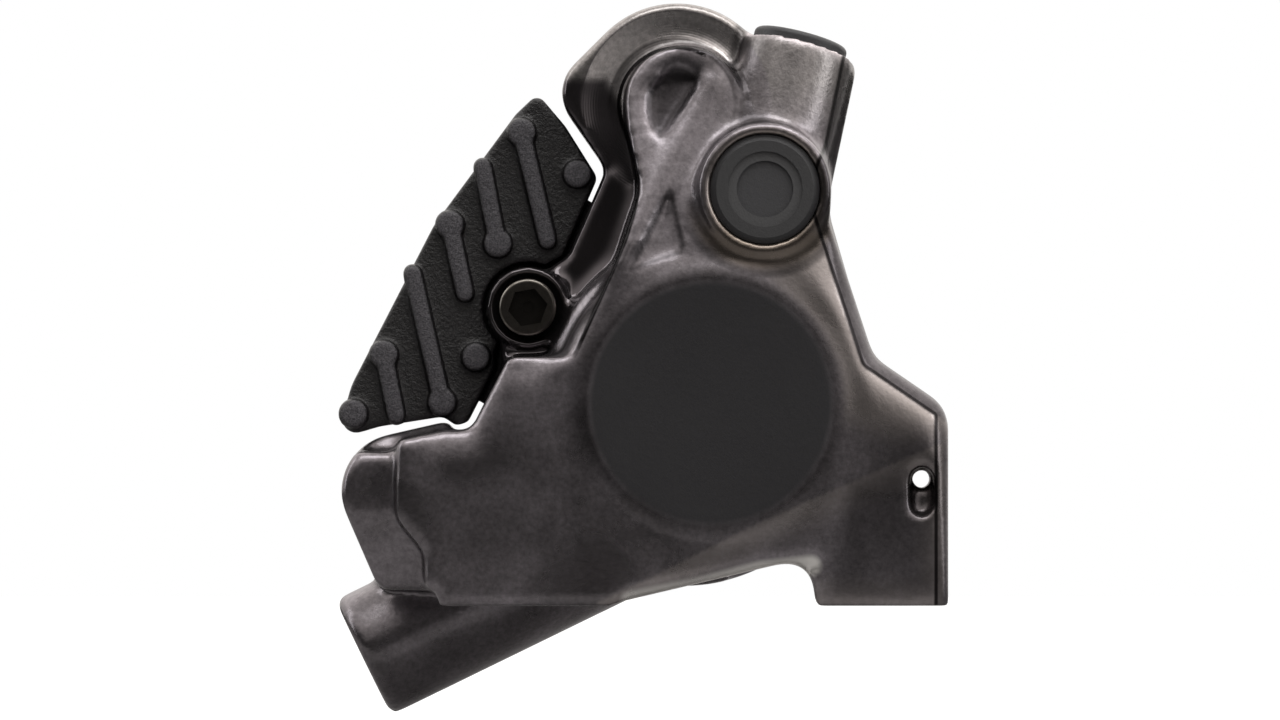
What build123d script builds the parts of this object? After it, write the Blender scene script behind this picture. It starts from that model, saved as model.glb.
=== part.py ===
from build123d import *
from math import atan2, cos, degrees, radians, sin
import os

# Hydraulic disc brake caliper for a flat-mount road frame, seen from its outboard side.
# X runs along the mount face towards the rear of the bicycle, Z stands off the mount face,
# Y runs inboard, from the viewer towards the wheel. Millimetres.
# The origin is the middle of the two frame bolt holes, on the mount face.
# Depths are counted from the middle plane of the rotor: plus is outboard, minus is inboard.

# Side view of the photograph: its pixels give the outlines, the bolt pitch gives their scale.
mount_pitch = 34.0
pitch_in_pixels = 394.4
origin_u = 688.0
origin_v = 606.0
pixel = mount_pitch / pitch_in_pixels

# Rotor and brake layout
rotor_offset = 13.8
rotor_radius = 70.0
rotor_to_piston = 61.5
piston_u, piston_v = 711.0, 403.0
radial_angle = 150.0
slot_half_width = 2.5
slot_clearance = 2.0

# Shared allowances
cut_overrun = 5.0
running_clearance = 0.05
seat_clearance = 0.1
seal_clearance = 0.02
trim_reach = 60.0

# Outboard body half, levels counted from the rotor plane
face_depth = 18.2
disc_rise = 0.35
disc_depth = face_depth + disc_rise
foot_back_depth = 8.3
lobe_depth = 9.4
arm_drop = 4.8
arm_depth = face_depth - arm_drop
front_edge_round = 0.45
rear_edge_chamfer = 1.1
rear_edge_left_u = 822.0
lobe_edge_round = 0.55
drum_radius = 14.6
drum_depth = 12.6
drum_round = 1.6
dome_radius = 13.4
disc_radius = 10.5
spot_radius = 7.95
spot_sink = 0.25
arm_slope_start = 29.3
arm_slope_end = 47.0
arm_slope_round = 26.0
crease_start_u, crease_start_v = 596.0, 602.0
crease_end_u, crease_end_v = 945.0, 440.0
draft_angle = 3.2
draft_drop = 0.4
arm_pocket_sink = 0.9
ridge_pocket_sink = 0.55
shoulder_depth = 14.2
shoulder_round = 0.8
shoulder_right_u = 432.0
shoulder_top_v = 452.0
shoulder_bend_v = (512.0, 553.0)
shoulder_falls = (16.0, 34.0)

# Inboard body half
inboard_slab_depth = 9.0
inboard_drum_u, inboard_drum_v = 684.0, 411.0
inboard_drum_radius = 15.3
inboard_drum_round = 2.6
inboard_web_depth = 13.2
inboard_recess_radius = 9.5
inboard_recess_depth = 0.8
bolt_boss_radius = 5.3
web_end_radius = 9.0

# Piston bores, pistons and their square seals
bore_radius = 11.0
crown_thickness = 2.45
bore_end_depth = disc_depth - crown_thickness
inboard_crown_thickness = 2.4
inboard_drum_depth = bore_end_depth + inboard_crown_thickness
chamber_depth = 5.7
piston_front_depth = 4.88
piston_back_room = 0.72
piston_length = bore_end_depth - piston_front_depth - piston_back_room
piston_cup_radius = 7.6
piston_cup_depth = 6.5
piston_edge_round = 0.4
seal_groove_near = 8.0
seal_groove_width = 2.2
seal_groove_radius = 12.6
seal_side_clearance = 0.05

# Brake pads: plate, lining, fin plate with ribs, rivets
pad_channel_half = 12.2
pad_channel_inner = 12.0
fin_channel_start = 10.6
fin_channel_depth = 6.9
lining_gap = 1.15
lining_thickness = 2.0
lining_slot_half = 0.6
lining_slot_depth = 1.2
plate_thickness = 1.7
fin_strip_thickness = 1.1
fin_strip_end = 22.4
fin_overlap = 1.0
fin_plate_thickness = 1.35
rib_height = 0.95
rib_draft = 12.0
rib_half_width = 0.72
rib_head_radius = 1.2
fin_body_clearance = 0.4
axle_hole_clearance = 0.25
rivet_radius = 1.1
rivet_head_radius = 1.7
rivet_head_height = 0.3

# Pad axle, its boss and its clip
axle_u, axle_v = 527.3, 307.2
axle_shank_radius = 1.95
axle_head_radius = 2.47
axle_head_height = 1.7
axle_head_round = 0.3
axle_boss_radius = 3.5
axle_boss_depth = 10.7
axle_recess_radius = 3.0
axle_recess_depth = 1.1
axle_hex = 3.0
axle_hex_depth = 1.3
axle_hex_turn = 10.0
axle_dimple_radius = 0.55
axle_dimple_depth = 0.4
axle_inboard_boss_depth = 10.2
axle_tail = 2.0
axle_groove_radius = 1.35
axle_groove_width = 0.6
clip_gap = 0.5
clip_outer_radius = 3.1
clip_thickness = 0.5
clip_room = 0.4
clip_mouth = 2.2

# Pad spring, one bent strip of sheet
spring_sheet = 0.4
spring_leg_width = 1.3
spring_leg_share = 0.86
spring_leg_reach = 6.5
spring_shoulder = 12.4
spring_shoulder_width = 1.5
spring_bridge_half = 4.6
spring_bridge_at = 15.0
spring_plate_gap = 0.12

# Body bolts that hold the two halves together
bolt_radius = 2.5
bolt_head_radius = 4.1
bolt_head_height = 3.4
bolt_hex = 4.0
bolt_hex_depth = 2.2
bolt_seat_depth = 8.6
bolt_end_depth = 7.4
bolt_tip_room = 0.3
bolt_head_round = 0.5
body_bolt_pixels = ((676.0, 104.0), (409.6, 503.9))

# Transfer seal between the halves, and the oil ways
transfer_outward = 13.6
transfer_along = 15.4
transfer_ring_radius = 2.1
transfer_ring_section = 0.5
transfer_groove_depth = 0.9
transfer_ring_thickness = 0.85
oilway_radius = 0.75
oilway_turn_depth = 9.2
oilway_end_gap = 0.6
oilway_end_depth = bore_end_depth - oilway_end_gap
valve_way_depth = 6.3
nipple_way_depth = 8.3
nipple_way_offset = 2.0

# Frame bolt holes and the safety pin slot in the rear foot
frame_hole_radius = 2.1
frame_hole_depth = 9.0
pin_u, pin_v = 922.0, 479.0
pin_hole_radius = 0.85
pin_slot_half_width = 1.06
pin_slot_drop = 2.18
pin_slot_depth = 1.5

# Hose port
hose_u, hose_v = 359.5, 661.5
hose_depth = 9.0
hose_tilt = 26.0
hose_boss_radius = 5.6
hose_boss_length = 27.0
hose_boss_round = 0.8
hose_thread_radius = 3.6
hose_thread_length = 9.5
hose_seat_radius = 2.4
hose_seat_length = 1.6

# Valve screw that faces the viewer, with its ring, O-ring and rubber cap
valve_u, valve_v = 765.0, 189.0
valve_rise = 0.2
valve_face_depth = face_depth + valve_rise
valve_boss_radius = 5.75
valve_boss_round = 0.45
valve_foot_radius = 6.0
valve_foot_left = 0.3
valve_foot_drop = 1.15
valve_foot_step = 1.2
valve_foot_depth = valve_face_depth - valve_foot_step
valve_cap_radius = 4.77
valve_cap_room = 2.9
valve_cap_sink = 0.35
valve_cap_step_radius = 4.2
valve_cap_inner_radius = 3.26
valve_cap_centre_radius = 2.44
valve_cap_step = 0.25
valve_cap_hollow = 0.9
valve_cap_lip = 0.5
valve_bore_radius = 3.0
valve_bore_end = 7.4
valve_seat_gap = 0.1
valve_screw_length = 5.8
valve_hex = 4.0
valve_hex_depth = 2.4
valve_tip_radius = 1.0
valve_tip_length = 1.1
valve_groove_radius = 2.2
valve_ring_width = 1.0
valve_ring_from_head = 2.0

# Bleed nipple in the top boss, with its seal and rubber cap
top_u, top_v = 800.2, 45.3
top_depth = 9.2
top_tilt = 14.5
top_lean = 8.0
top_boss_radius = 4.85
top_boss_length = 13.5
top_boss_round = 0.35
nipple_room_radius = 4.15
nipple_room_depth = 3.6
nipple_bore_radius = 2.05
nipple_bore_depth = 4.8
nipple_flange_radius = 2.9
nipple_flange_height = 0.9
nipple_barb_radius = 1.5
nipple_barb_height = 1.9
nipple_neck_radius = 1.25
nipple_hole_radius = 0.5
nipple_seal_radius = 1.55
nipple_seal_width = 0.6
nipple_seal_from_flange = 0.7
nipple_tip_taper = 0.6
nipple_seat_gap = 0.3
nipple_barb_head = 0.8
nipple_cap_rise = 0.8
nipple_cap_wall = 0.9
nipple_cap_roof = 1.0
nipple_cap_round = 0.45

# Outlines in the side view, as photograph pixels: across, down, and the radius of the corner.
# The wall of both halves behind the feet: top lobe, neck, rear lobe and pad opening.
wall_corners = (
    (549.6, 86.8, 40),
    (635.2, 1.5, 100),
    (716.4, 1.5, 100),
    (749.5, 32, 8),
    (859, 60, 14),
    (828, 206, 60),
    (864, 330, 20),
    (836, 505, 0),
    (700, 568, 0),
    (640, 596, 20),
    (378.3, 590.6, 15),
    (318.2, 451, 57),
    (446, 421.7, 6),
    (454, 436, 6),
    (470, 430, 14),
    (501, 368, 30),
    (500, 300, 0),
    (553, 265, 10),
    (568, 255, 10),
    (606, 168, 10),
)
# The outboard front: arm, neck, both feet and the wall between them.
front_corners = (
    (617.6, 45.6, 57),
    (734.4, 45.6, 56),
    (748, 128, 12),
    (829, 168, 0),
    (827, 214, 40),
    (874, 357, 30),
    (948.5, 408, 38),
    (948.5, 650, 0),
    (821, 650, 0),
    (811, 557, 27),
    (612, 604, 10),
    (600, 650, 0),
    (441, 650, 0),
    (438, 592, 8),
    (424.5, 588, 0),
    (424.5, 553, 18),
    (396, 518, 18),
    (396, 478, 18),
    (397, 441, 0),
    (446, 430, 0),
    (470, 431, 14),
    (503, 368, 30),
    (508, 357, 10),
    (571, 357, 14),
    (617, 259, 60),
    (640, 190, 40),
    (628, 130, 40),
)
# Cast pockets in the arm and between the ridge and the valve boss.
arm_pocket_corners = (
    (675, 62, 12),
    (646, 92, 16),
    (648, 118, 20),
    (658, 143, 5),
    (703, 76, 8),
)
ridge_pocket_corners = (
    (670, 188, 3),
    (684, 252, 9),
    (627, 271, 3),
)
# The fin plate of a brake pad, outside the body, and the run of its inner edge.
fin_corners = (
    (537, 92, 9),
    (565, 125, 0),
    (597, 176, 8),
    (562, 256, 10),
    (546, 264, 0),
    (512, 300, 0),
    (494, 352, 0),
    (494, 368, 20),
    (466, 423, 8),
    (455, 426, 5),
    (442, 417, 5),
    (378, 427, 40),
    (334, 440, 14),
    (350, 385, 60),
    (433, 224, 60),
    (515, 113, 12),
)
# Ribs pressed into the fin: the two ends of each, and whether each end has a round head.
fin_ribs = (
    ((521, 131), (547, 240), True, False),
    ((482, 166), (497, 243), False, True),
    ((449, 224), (464, 293), True, False),
    ((411.5, 273), (441, 402.5), False, True),
    ((382.5, 354.5), (395, 416), True, False),
)
fin_bumps = ((352, 414), (475, 357), (577, 173))
# Brake pad outlines as shares of the bore radius: outward, along, corner radius.
plate_shares = (
    (-0.82, -0.98, 0.16),
    (1.02, -0.98, 0.16),
    (1.38, -0.84, 0.14),
    (1.46, -0.42, 0.14),
    (1.86, -0.38, 0.3),
    (1.86, 0.38, 0.3),
    (1.46, 0.42, 0.14),
    (1.38, 0.84, 0.14),
    (1.02, 0.98, 0.16),
    (-0.82, 0.98, 0.16),
)
lining_shares = (
    (-0.76, -0.8, 0.12),
    (0.66, -0.84, 0.12),
    (0.76, -0.6, 0.1),
    (0.76, 0.6, 0.1),
    (0.66, 0.84, 0.12),
    (-0.76, 0.8, 0.12),
)
fin_strip_start_share = 1.03
fin_strip_half_share = 0.9
rivet_outward_share = 1.2
rivet_along_share = 0.62


def place(across, down):
    """Right and up from the origin of a photograph pixel."""
    return ((across - origin_u) * pixel, (origin_v - down) * pixel)


piston_x, piston_z = place(piston_u, piston_v)
axle_x, axle_z = place(axle_u, axle_v)
valve_x, valve_z = place(valve_u, valve_v)


def pad_place(outward, along):
    """Point counted from the piston's centre, away from the rotor's centre and along the rim."""
    turn = radians(radial_angle)
    return (
        piston_x + outward * cos(turn) + along * sin(turn),
        piston_z + outward * sin(turn) - along * cos(turn),
    )


rotor_x, rotor_z = pad_place(-rotor_to_piston, 0)
transfer_x, transfer_z = pad_place(transfer_outward, transfer_along)
bolt_places = [place(u, v) for u, v in body_bolt_pixels]
pad_back_depth = lining_gap + lining_thickness + plate_thickness


def at_depth(depth):
    """Side-view plane at a depth, facing the viewer."""
    return Plane.XZ.offset(depth - rotor_offset)


def face_of(corners):
    """Closed face through (x, z, corner radius) corners."""
    points = [(x, z) for x, z, _ in corners]
    radii = [radius for _, _, radius in corners]
    return make_face(FilletPolyline(*points, radius=radii, close=True))


def photo_face(corners):
    """Closed face through photograph corners."""
    return face_of([(*place(u, v), radius * pixel) for u, v, radius in corners])


def pad_face(shares):
    """Closed face through corners given as shares of the bore radius."""
    return face_of([
        (*pad_place(outward * bore_radius, along * bore_radius), radius * bore_radius)
        for outward, along, radius in shares
    ])


def disc_at(x, z, radius):
    """Round face in the side view."""
    return Pos(x, z) * Circle(radius)


def pad_block(inner, outer, half):
    """Rectangle in the side view, in line with the pads."""
    centre = pad_place((inner + outer) / 2, 0)
    return Pos(*centre) * Rot(0, 0, radial_angle) * Rectangle(outer - inner, 2 * half)


def slab(shape, start, end):
    """Side-view face carried from one depth to another."""
    return extrude(at_depth(start) * shape, end - start)


def rounded_slab(shape, start, end, radius):
    """Slab with the outer edge of its far face rounded."""
    solid = slab(shape, start, end)
    by_depth = solid.faces().sort_by(Axis.Y)
    far_face = by_depth[0] if end > start else by_depth[-1]
    return fillet(far_face.edges(), radius)


def drum(x, z, radius, start, end):
    """Round bar or bore across the caliper."""
    return slab(disc_at(x, z, radius), start, end)


def side_point(x, z, depth):
    """Point in space from its place in the side view and its depth."""
    return Vector(x, rotor_offset - depth, z)


def rod(start, end, radius):
    """Round bar or drilled way from one point to another."""
    run = end - start
    return extrude(Plane(origin=start, z_dir=run) * Circle(radius), run.length)


def turned(plane, profile):
    """Solid of revolution about a plane's normal from (radius, height) points."""
    return plane * revolve(Plane.XZ * make_face(Polyline(*profile, close=True)), Axis.Z)


def hexagon(across_flats, turn):
    """Hexagon face with its flats the given distance apart."""
    return Rot(0, 0, turn) * RegularPolygon(across_flats / 2, 6, major_radius=False)


def hose_axis():
    """Way that the hose boss runs into the body, and the centre of its open end."""
    tilt = radians(hose_tilt)
    return Vector(cos(tilt), 0, sin(tilt)), side_point(*place(hose_u, hose_v), -hose_depth)


def top_plane():
    """Plane on the end of the top boss, facing out along the bleed nipple."""
    tilt, lean = radians(top_tilt), radians(top_lean)
    out = Vector(sin(tilt) * cos(lean), sin(lean), cos(tilt) * cos(lean))
    return Plane(origin=side_point(*place(top_u, top_v), top_depth), z_dir=out)


# Body halves


def rotor_slot():
    """Disc of air that the rotor turns in."""
    reach = rotor_radius + slot_clearance
    return drum(rotor_x, rotor_z, reach, -slot_half_width, slot_half_width)


def pad_channel(side):
    """Opening for the pads and their fins in one half."""
    channel = pad_block(-pad_channel_inner, trim_reach, pad_channel_half)
    fin_room = pad_block(fin_channel_start, trim_reach, pad_channel_half)
    return (
        slab(channel, -cut_overrun * side, chamber_depth * side)
        + slab(fin_room, 0, fin_channel_depth * side)
    )


def piston_bore(side):
    """Bore with its seal groove."""
    bore = drum(piston_x, piston_z, bore_radius, 0, bore_end_depth * side)
    groove_far = seal_groove_near + seal_groove_width
    groove = drum(
        piston_x, piston_z, seal_groove_radius, seal_groove_near * side, groove_far * side
    )
    return bore + groove


def transfer_way(side):
    """Drilled oil way from the joint of the halves to the back of one bore."""
    turn = side_point(transfer_x, transfer_z, oilway_turn_depth * side)
    aim = Vector(transfer_x - piston_x, transfer_z - piston_z).normalized()
    reach = bore_radius - oilway_radius
    chamber = side_point(
        piston_x + aim.X * reach, piston_z + aim.Y * reach, oilway_end_depth * side
    )
    straight = drum(
        transfer_x, transfer_z, oilway_radius, 0, (oilway_turn_depth + oilway_radius) * side
    )
    return straight + rod(turn, chamber, oilway_radius)


def arm_slope(sink):
    """Space in front of the arm, which leans back from the drum to the lobe."""
    face_y = rotor_offset - face_depth + sink
    arm_y = rotor_offset - arm_depth + sink
    far_y = rotor_offset - face_depth - trim_reach
    line = FilletPolyline(
        (face_y, -trim_reach),
        (face_y, arm_slope_start),
        (arm_y, arm_slope_end),
        (arm_y, arm_slope_end + trim_reach),
        radius=arm_slope_round,
    )
    back = Polyline(
        (arm_y, arm_slope_end + trim_reach),
        (far_y, arm_slope_end + trim_reach),
        (far_y, -trim_reach),
        (face_y, -trim_reach),
    )
    return extrude(Plane.YZ * make_face([line, back]), trim_reach, both=True)


def falling(start, end, depth, fall):
    """Space below a line in the side view, cut back from a depth by an angle."""
    first = side_point(*place(*start), depth)
    last = side_point(*place(*end), depth)
    line = Plane(origin=first, x_dir=last - first, z_dir=(0, -1, 0))
    space = Pos(0, -trim_reach / 2, trim_reach / 2) * Box(3 * trim_reach, trim_reach, trim_reach)
    return line * Rot(fall, 0, 0) * space


def front_draft():
    """Metal taken off the outboard front below its lower crease."""
    start = (crease_start_u, crease_start_v)
    end = (crease_end_u, crease_end_v)
    return falling(start, end, face_depth, draft_angle)


def cast_pocket(corners, sink):
    """Shallow pocket whose floor follows the slope of the arm."""
    return slab(photo_face(corners), foot_back_depth, face_depth + cut_overrun) & arm_slope(sink)


def shoulder():
    """Step beside the front foot, which falls back in two bends towards its end."""
    left, low = place(0, origin_v)
    right, high = place(shoulder_right_u, shoulder_top_v)
    window = Pos((left + right) / 2, (low + high) / 2) * Rectangle(right - left, high - low)
    step = rounded_slab(
        photo_face(wall_corners) & window, foot_back_depth, shoulder_depth, shoulder_round
    )
    for across, fall in zip(shoulder_bend_v, shoulder_falls):
        step -= falling((0, across), (shoulder_right_u, across), shoulder_depth, fall)
    return step


def piston_dome():
    """Cast drum over the outboard bore, and the dome on it with its flat round face."""
    side = disc_at(piston_x, piston_z, drum_radius)
    top = disc_at(piston_x, piston_z, dome_radius)
    drum_side = rounded_slab(side, chamber_depth, drum_depth, drum_round)
    return drum_side + rounded_slab(top, chamber_depth, disc_depth, dome_radius - disc_radius)


def front_core():
    """Front of the outboard half, with a broad chamfer down its rear side."""
    core = slab(photo_face(front_corners), foot_back_depth, face_depth)
    rear_x, _ = place(rear_edge_left_u, origin_v)
    front = core.faces().sort_by(Axis.Y)[0]
    core = chamfer([edge for edge in front.edges() if edge.center().X > rear_x], rear_edge_chamfer)
    front = core.faces().sort_by(Axis.Y)[0]
    rounded = [edge for edge in front.edges() if edge.center().X < rear_x - rear_edge_chamfer]
    return fillet(rounded, front_edge_round)


def valve_boss():
    """Machined boss round the valve screw, on its larger cast foot."""
    foot_x, foot_z = valve_x - valve_foot_left, valve_z - valve_foot_drop
    foot = drum(foot_x, foot_z, valve_foot_radius, foot_back_depth, valve_foot_depth)
    boss = rounded_slab(
        disc_at(valve_x, valve_z, valve_boss_radius),
        foot_back_depth,
        valve_face_depth,
        valve_boss_round,
    )
    return foot + boss


def top_boss():
    """Leaning round boss that carries the bleed nipple."""
    plane = top_plane()
    boss = extrude(plane * Circle(top_boss_radius), -top_boss_length)
    rim = boss.edges().sort_by(Axis.Z)[-1]
    return fillet(rim, top_boss_round)


def valve_room():
    """Bore and cap seat of the valve screw."""
    bore = drum(valve_x, valve_z, valve_bore_radius, valve_bore_end, valve_face_depth)
    seat = valve_face_depth - valve_cap_room
    mouth = drum(valve_x, valve_z, valve_cap_radius, seat, valve_face_depth + cut_overrun)
    tip = drum(
        valve_x, valve_z, valve_tip_radius, valve_bore_end - valve_tip_length, valve_bore_end
    )
    cross = rod(
        side_point(valve_x, valve_z, valve_way_depth),
        side_point(transfer_x, transfer_z, valve_way_depth),
        oilway_radius,
    )
    return bore + mouth + tip + cross


def nipple_room():
    """Cap seat and threaded bore of the bleed nipple."""
    plane = top_plane()
    room = extrude(plane.offset(-nipple_room_depth) * Circle(nipple_room_radius), cut_overrun * 2)
    floor = nipple_room_depth + nipple_bore_depth
    bore = extrude(plane.offset(-floor) * Circle(nipple_bore_radius), floor)
    bottom = plane.origin - plane.z_dir * (floor - oilway_radius)
    valve_side = side_point(valve_x, valve_z + nipple_way_offset, nipple_way_depth)
    return room + bore + rod(bottom, valve_side, oilway_radius)


def axle_hole(radius, start, end):
    """Round bar or hole on the pad axle's line."""
    return drum(axle_x, axle_z, radius, start, end)


def below_mount():
    """Everything under the mount face."""
    reach = 2 * trim_reach
    return Pos(0, 0, -trim_reach) * Box(reach, reach, reach)


def pin_slot():
    """Through hole and open slot for the pin that keeps a frame bolt from falling out."""
    x, z = place(pin_u, pin_v)
    hole = drum(x, z, pin_hole_radius, 0, face_depth + cut_overrun)
    slot_face = Pos(x, z - pin_slot_drop / 2) * Rot(0, 0, 90) * SlotCenterToCenter(
        pin_slot_drop, 2 * pin_slot_half_width
    )
    return hole + slab(slot_face, face_depth - pin_slot_depth - draft_drop, face_depth + cut_overrun)


def outboard_body():
    """Outboard half: feet, outboard bore, valve boss, top boss and the ridge to the lobe."""
    wall = photo_face(wall_corners)
    body = rounded_slab(wall, 0, lobe_depth, lobe_edge_round)
    lobe_x, lobe_z = bolt_places[0]
    body -= drum(lobe_x, lobe_z, spot_radius, lobe_depth - spot_sink, lobe_depth + cut_overrun)
    body += axle_hole(axle_boss_radius, chamber_depth, axle_boss_depth)
    core = front_core() - arm_slope(0) - front_draft()
    core -= cast_pocket(arm_pocket_corners, arm_pocket_sink)
    core -= cast_pocket(ridge_pocket_corners, ridge_pocket_sink)
    body += core + shoulder()
    body += piston_dome() + valve_boss() + top_boss()
    body -= below_mount()
    body -= rotor_slot() + pad_channel(1)
    body -= piston_bore(1) + transfer_way(1)
    seal_seat = transfer_ring_radius + seal_side_clearance
    body -= drum(transfer_x, transfer_z, seal_seat, 0, transfer_groove_depth)
    body -= valve_room() + nipple_room()
    body -= pin_slot() + frame_holes()
    body -= axle_hole(axle_shank_radius + running_clearance, 0, axle_boss_depth)
    body -= axle_hole(
        axle_recess_radius, axle_boss_depth - axle_recess_depth, axle_boss_depth + cut_overrun
    )
    for x, z in bolt_places:
        body -= drum(x, z, bolt_radius + seal_clearance, 0, bolt_end_depth)
    return body


def inboard_body():
    """Inboard half: inboard bore, bolt head seats and the hose port, without feet."""
    wall = photo_face(wall_corners)
    body = rounded_slab(wall, 0, -inboard_slab_depth, lobe_edge_round)
    drum_x, drum_z = place(inboard_drum_u, inboard_drum_v)
    drum_face = disc_at(drum_x, drum_z, inboard_drum_radius)
    body += rounded_slab(drum_face, -slot_half_width, -inboard_drum_depth, inboard_drum_round)
    for x, z in bolt_places:
        boss = make_hull([
            *disc_at(x, z, bolt_boss_radius).edges(),
            *disc_at(piston_x, piston_z, web_end_radius).edges(),
        ])
        web = rounded_slab(boss, -slot_half_width, -inboard_web_depth, lobe_edge_round)
        body += web & slab(wall, 0, -inboard_web_depth)
    body += axle_hole(axle_boss_radius, -chamber_depth, -axle_inboard_boss_depth)
    run, mouth = hose_axis()
    hose_boss = extrude(Plane(origin=mouth, z_dir=run) * Circle(hose_boss_radius), hose_boss_length)
    body += fillet(hose_boss.edges().sort_by(Axis.X)[0], hose_boss_round)
    body -= drum(
        drum_x, drum_z, inboard_recess_radius,
        -(inboard_drum_depth - inboard_recess_depth), -(inboard_drum_depth + cut_overrun),
    )
    body -= rotor_slot() + pad_channel(-1)
    body -= piston_bore(-1) + transfer_way(-1)
    body -= hose_port()
    body -= axle_hole(axle_shank_radius + running_clearance, 0, -axle_inboard_boss_depth)
    body -= axle_hole(
        clip_outer_radius + clip_room,
        -axle_inboard_boss_depth,
        -(inboard_drum_depth + cut_overrun),
    )
    for x, z in bolt_places:
        body -= drum(x, z, bolt_radius + running_clearance, 0, -inboard_web_depth)
        body -= drum(
            x, z, bolt_head_radius + seat_clearance,
            -bolt_seat_depth, -(inboard_web_depth + cut_overrun),
        )
    return body


def hose_port():
    """Threaded bore, sealing seat and drilled way from the hose to the back of the bore."""
    run, mouth = hose_axis()
    seat = mouth + run * hose_thread_length
    inner = seat + run * hose_seat_length
    to_piston = Vector(piston_x - inner.X, piston_z - inner.Z).normalized()
    reach = bore_radius - oilway_radius
    chamber = side_point(
        piston_x - to_piston.X * reach, piston_z - to_piston.Y * reach, -oilway_end_depth
    )
    return (
        rod(mouth, seat, hose_thread_radius)
        + rod(seat, inner, hose_seat_radius)
        + rod(inner - run * oilway_radius, chamber, oilway_radius)
    )


def frame_holes():
    """Threaded holes for the two frame bolts."""
    across = Pos(mount_pitch / 2, 0) * Circle(frame_hole_radius)
    across += Pos(-mount_pitch / 2, 0) * Circle(frame_hole_radius)
    return extrude(across, frame_hole_depth)


# Fasteners and seals of the body


def body_bolt(x, z):
    """Socket head bolt from the inboard side."""
    head_end = bolt_seat_depth + bolt_head_height
    bolt = rounded_slab(
        disc_at(x, z, bolt_head_radius), -bolt_seat_depth, -head_end, bolt_head_round
    )
    bolt += drum(x, z, bolt_radius, bolt_end_depth - bolt_tip_room, -bolt_seat_depth)
    socket = Pos(x, z) * hexagon(bolt_hex, 0)
    return bolt - slab(socket, -(head_end - bolt_hex_depth), -head_end)


def body_bolts():
    """Both body bolts, as separate solids of one node."""
    return Compound(children=[body_bolt(x, z) for x, z in bolt_places])


def transfer_seal():
    """O-ring round the oil way where the halves meet."""
    outer = drum(transfer_x, transfer_z, transfer_ring_radius, 0, transfer_ring_thickness)
    return outer - drum(
        transfer_x, transfer_z, transfer_ring_radius - transfer_ring_section,
        0, transfer_ring_thickness,
    )


# Pistons and their seals


def piston():
    """Cup-shaped piston, open towards the pad."""
    start = piston_front_depth
    end = (piston_front_depth + piston_length)
    radius = bore_radius - running_clearance
    cup = rounded_slab(disc_at(piston_x, piston_z, radius), start, end, piston_edge_round)
    hollow = (piston_front_depth + piston_cup_depth)
    return cup - drum(piston_x, piston_z, piston_cup_radius, start, hollow)


def piston_seal():
    """Square rubber ring in the groove of the bore."""
    start = seal_groove_near + seal_side_clearance
    end = seal_groove_near + seal_groove_width - seal_side_clearance
    outer = seal_groove_radius - seal_side_clearance
    inner = bore_radius - running_clearance + seal_clearance
    ring = disc_at(piston_x, piston_z, outer) - disc_at(piston_x, piston_z, inner)
    return slab(ring, start, end)


# Brake pads


def rivet_places():
    """Centres of the two rivets that hold a fin plate to its pad."""
    outward = rivet_outward_share * bore_radius
    along = rivet_along_share * bore_radius
    return pad_place(outward, along), pad_place(outward, -along)


def pad_plate():
    """Steel backing plate with the ear that hangs on the pad axle."""
    near = lining_gap + lining_thickness
    plate = slab(pad_face(plate_shares), near, (near + plate_thickness))
    hole = axle_shank_radius + axle_hole_clearance
    plate -= axle_hole(hole, near, (near + plate_thickness))
    for x, z in rivet_places():
        plate -= drum(x, z, rivet_radius, near, (near + plate_thickness))
    return plate


def pad_lining():
    """Friction block bonded to the backing plate, with a slot across it."""
    far = lining_gap + lining_thickness
    block = slab(pad_face(lining_shares), lining_gap, far)
    slot = pad_block(-bore_radius, bore_radius, lining_slot_half)
    return block - slab(slot, lining_gap, (lining_gap + lining_slot_depth))


def raised(shape):
    """Pressed relief on the fin plate, with drafted sides."""
    base = pad_back_depth + fin_strip_thickness + fin_plate_thickness
    return extrude(at_depth(base) * shape, rib_height, taper=rib_draft)


def fin_rib(start, end, start_head, end_head):
    """One pressed rib with its round heads."""
    first, last = Vector(*place(*start)), Vector(*place(*end))
    middle = (first + last) / 2
    run = last - first
    angle = degrees(atan2(run.Y, run.X))
    bar = Pos(middle.X, middle.Y) * Rot(0, 0, angle) * SlotCenterToCenter(
        run.length, 2 * rib_half_width
    )
    rib = raised(bar)
    if start_head:
        rib += raised(disc_at(first.X, first.Y, rib_head_radius))
    if end_head:
        rib += raised(disc_at(last.X, last.Y, rib_head_radius))
    return rib


def pad_fin():
    """Aluminium cooling fin: inner strip riveted to the pad, step, and ribbed outer plate."""
    start = fin_strip_start_share * bore_radius
    half = fin_strip_half_share * bore_radius
    strip = pad_block(start, fin_strip_end, half)
    strip &= photo_face(fin_corners) + pad_block(start, fin_strip_end - fin_overlap, half)
    step = pad_back_depth + fin_strip_thickness
    fin = slab(strip, pad_back_depth, step)
    keep_out = disc_at(axle_x, axle_z, axle_boss_radius + fin_body_clearance)
    plate = photo_face(fin_corners) - keep_out
    fin += slab(plate, step, (step + fin_plate_thickness))
    for rib in fin_ribs:
        fin += fin_rib(*rib)
    for u, v in fin_bumps:
        fin += raised(disc_at(*place(u, v), rib_head_radius))
    fin -= axle_hole(axle_shank_radius + axle_hole_clearance, 0, (step + cut_overrun))
    for x, z in rivet_places():
        fin -= drum(x, z, rivet_radius, 0, step)
    return fin


def pad_rivets():
    """Rivets through the fin strip and the backing plate."""
    near = lining_gap + lining_thickness
    step = pad_back_depth + fin_strip_thickness
    rivets = []
    for x, z in rivet_places():
        shank = drum(x, z, rivet_radius, near, step)
        head = drum(x, z, rivet_head_radius, step, (step + rivet_head_height))
        rivets.append(shank + head)
    return Compound(children=rivets)


# Pad axle, clip and spring


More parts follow.
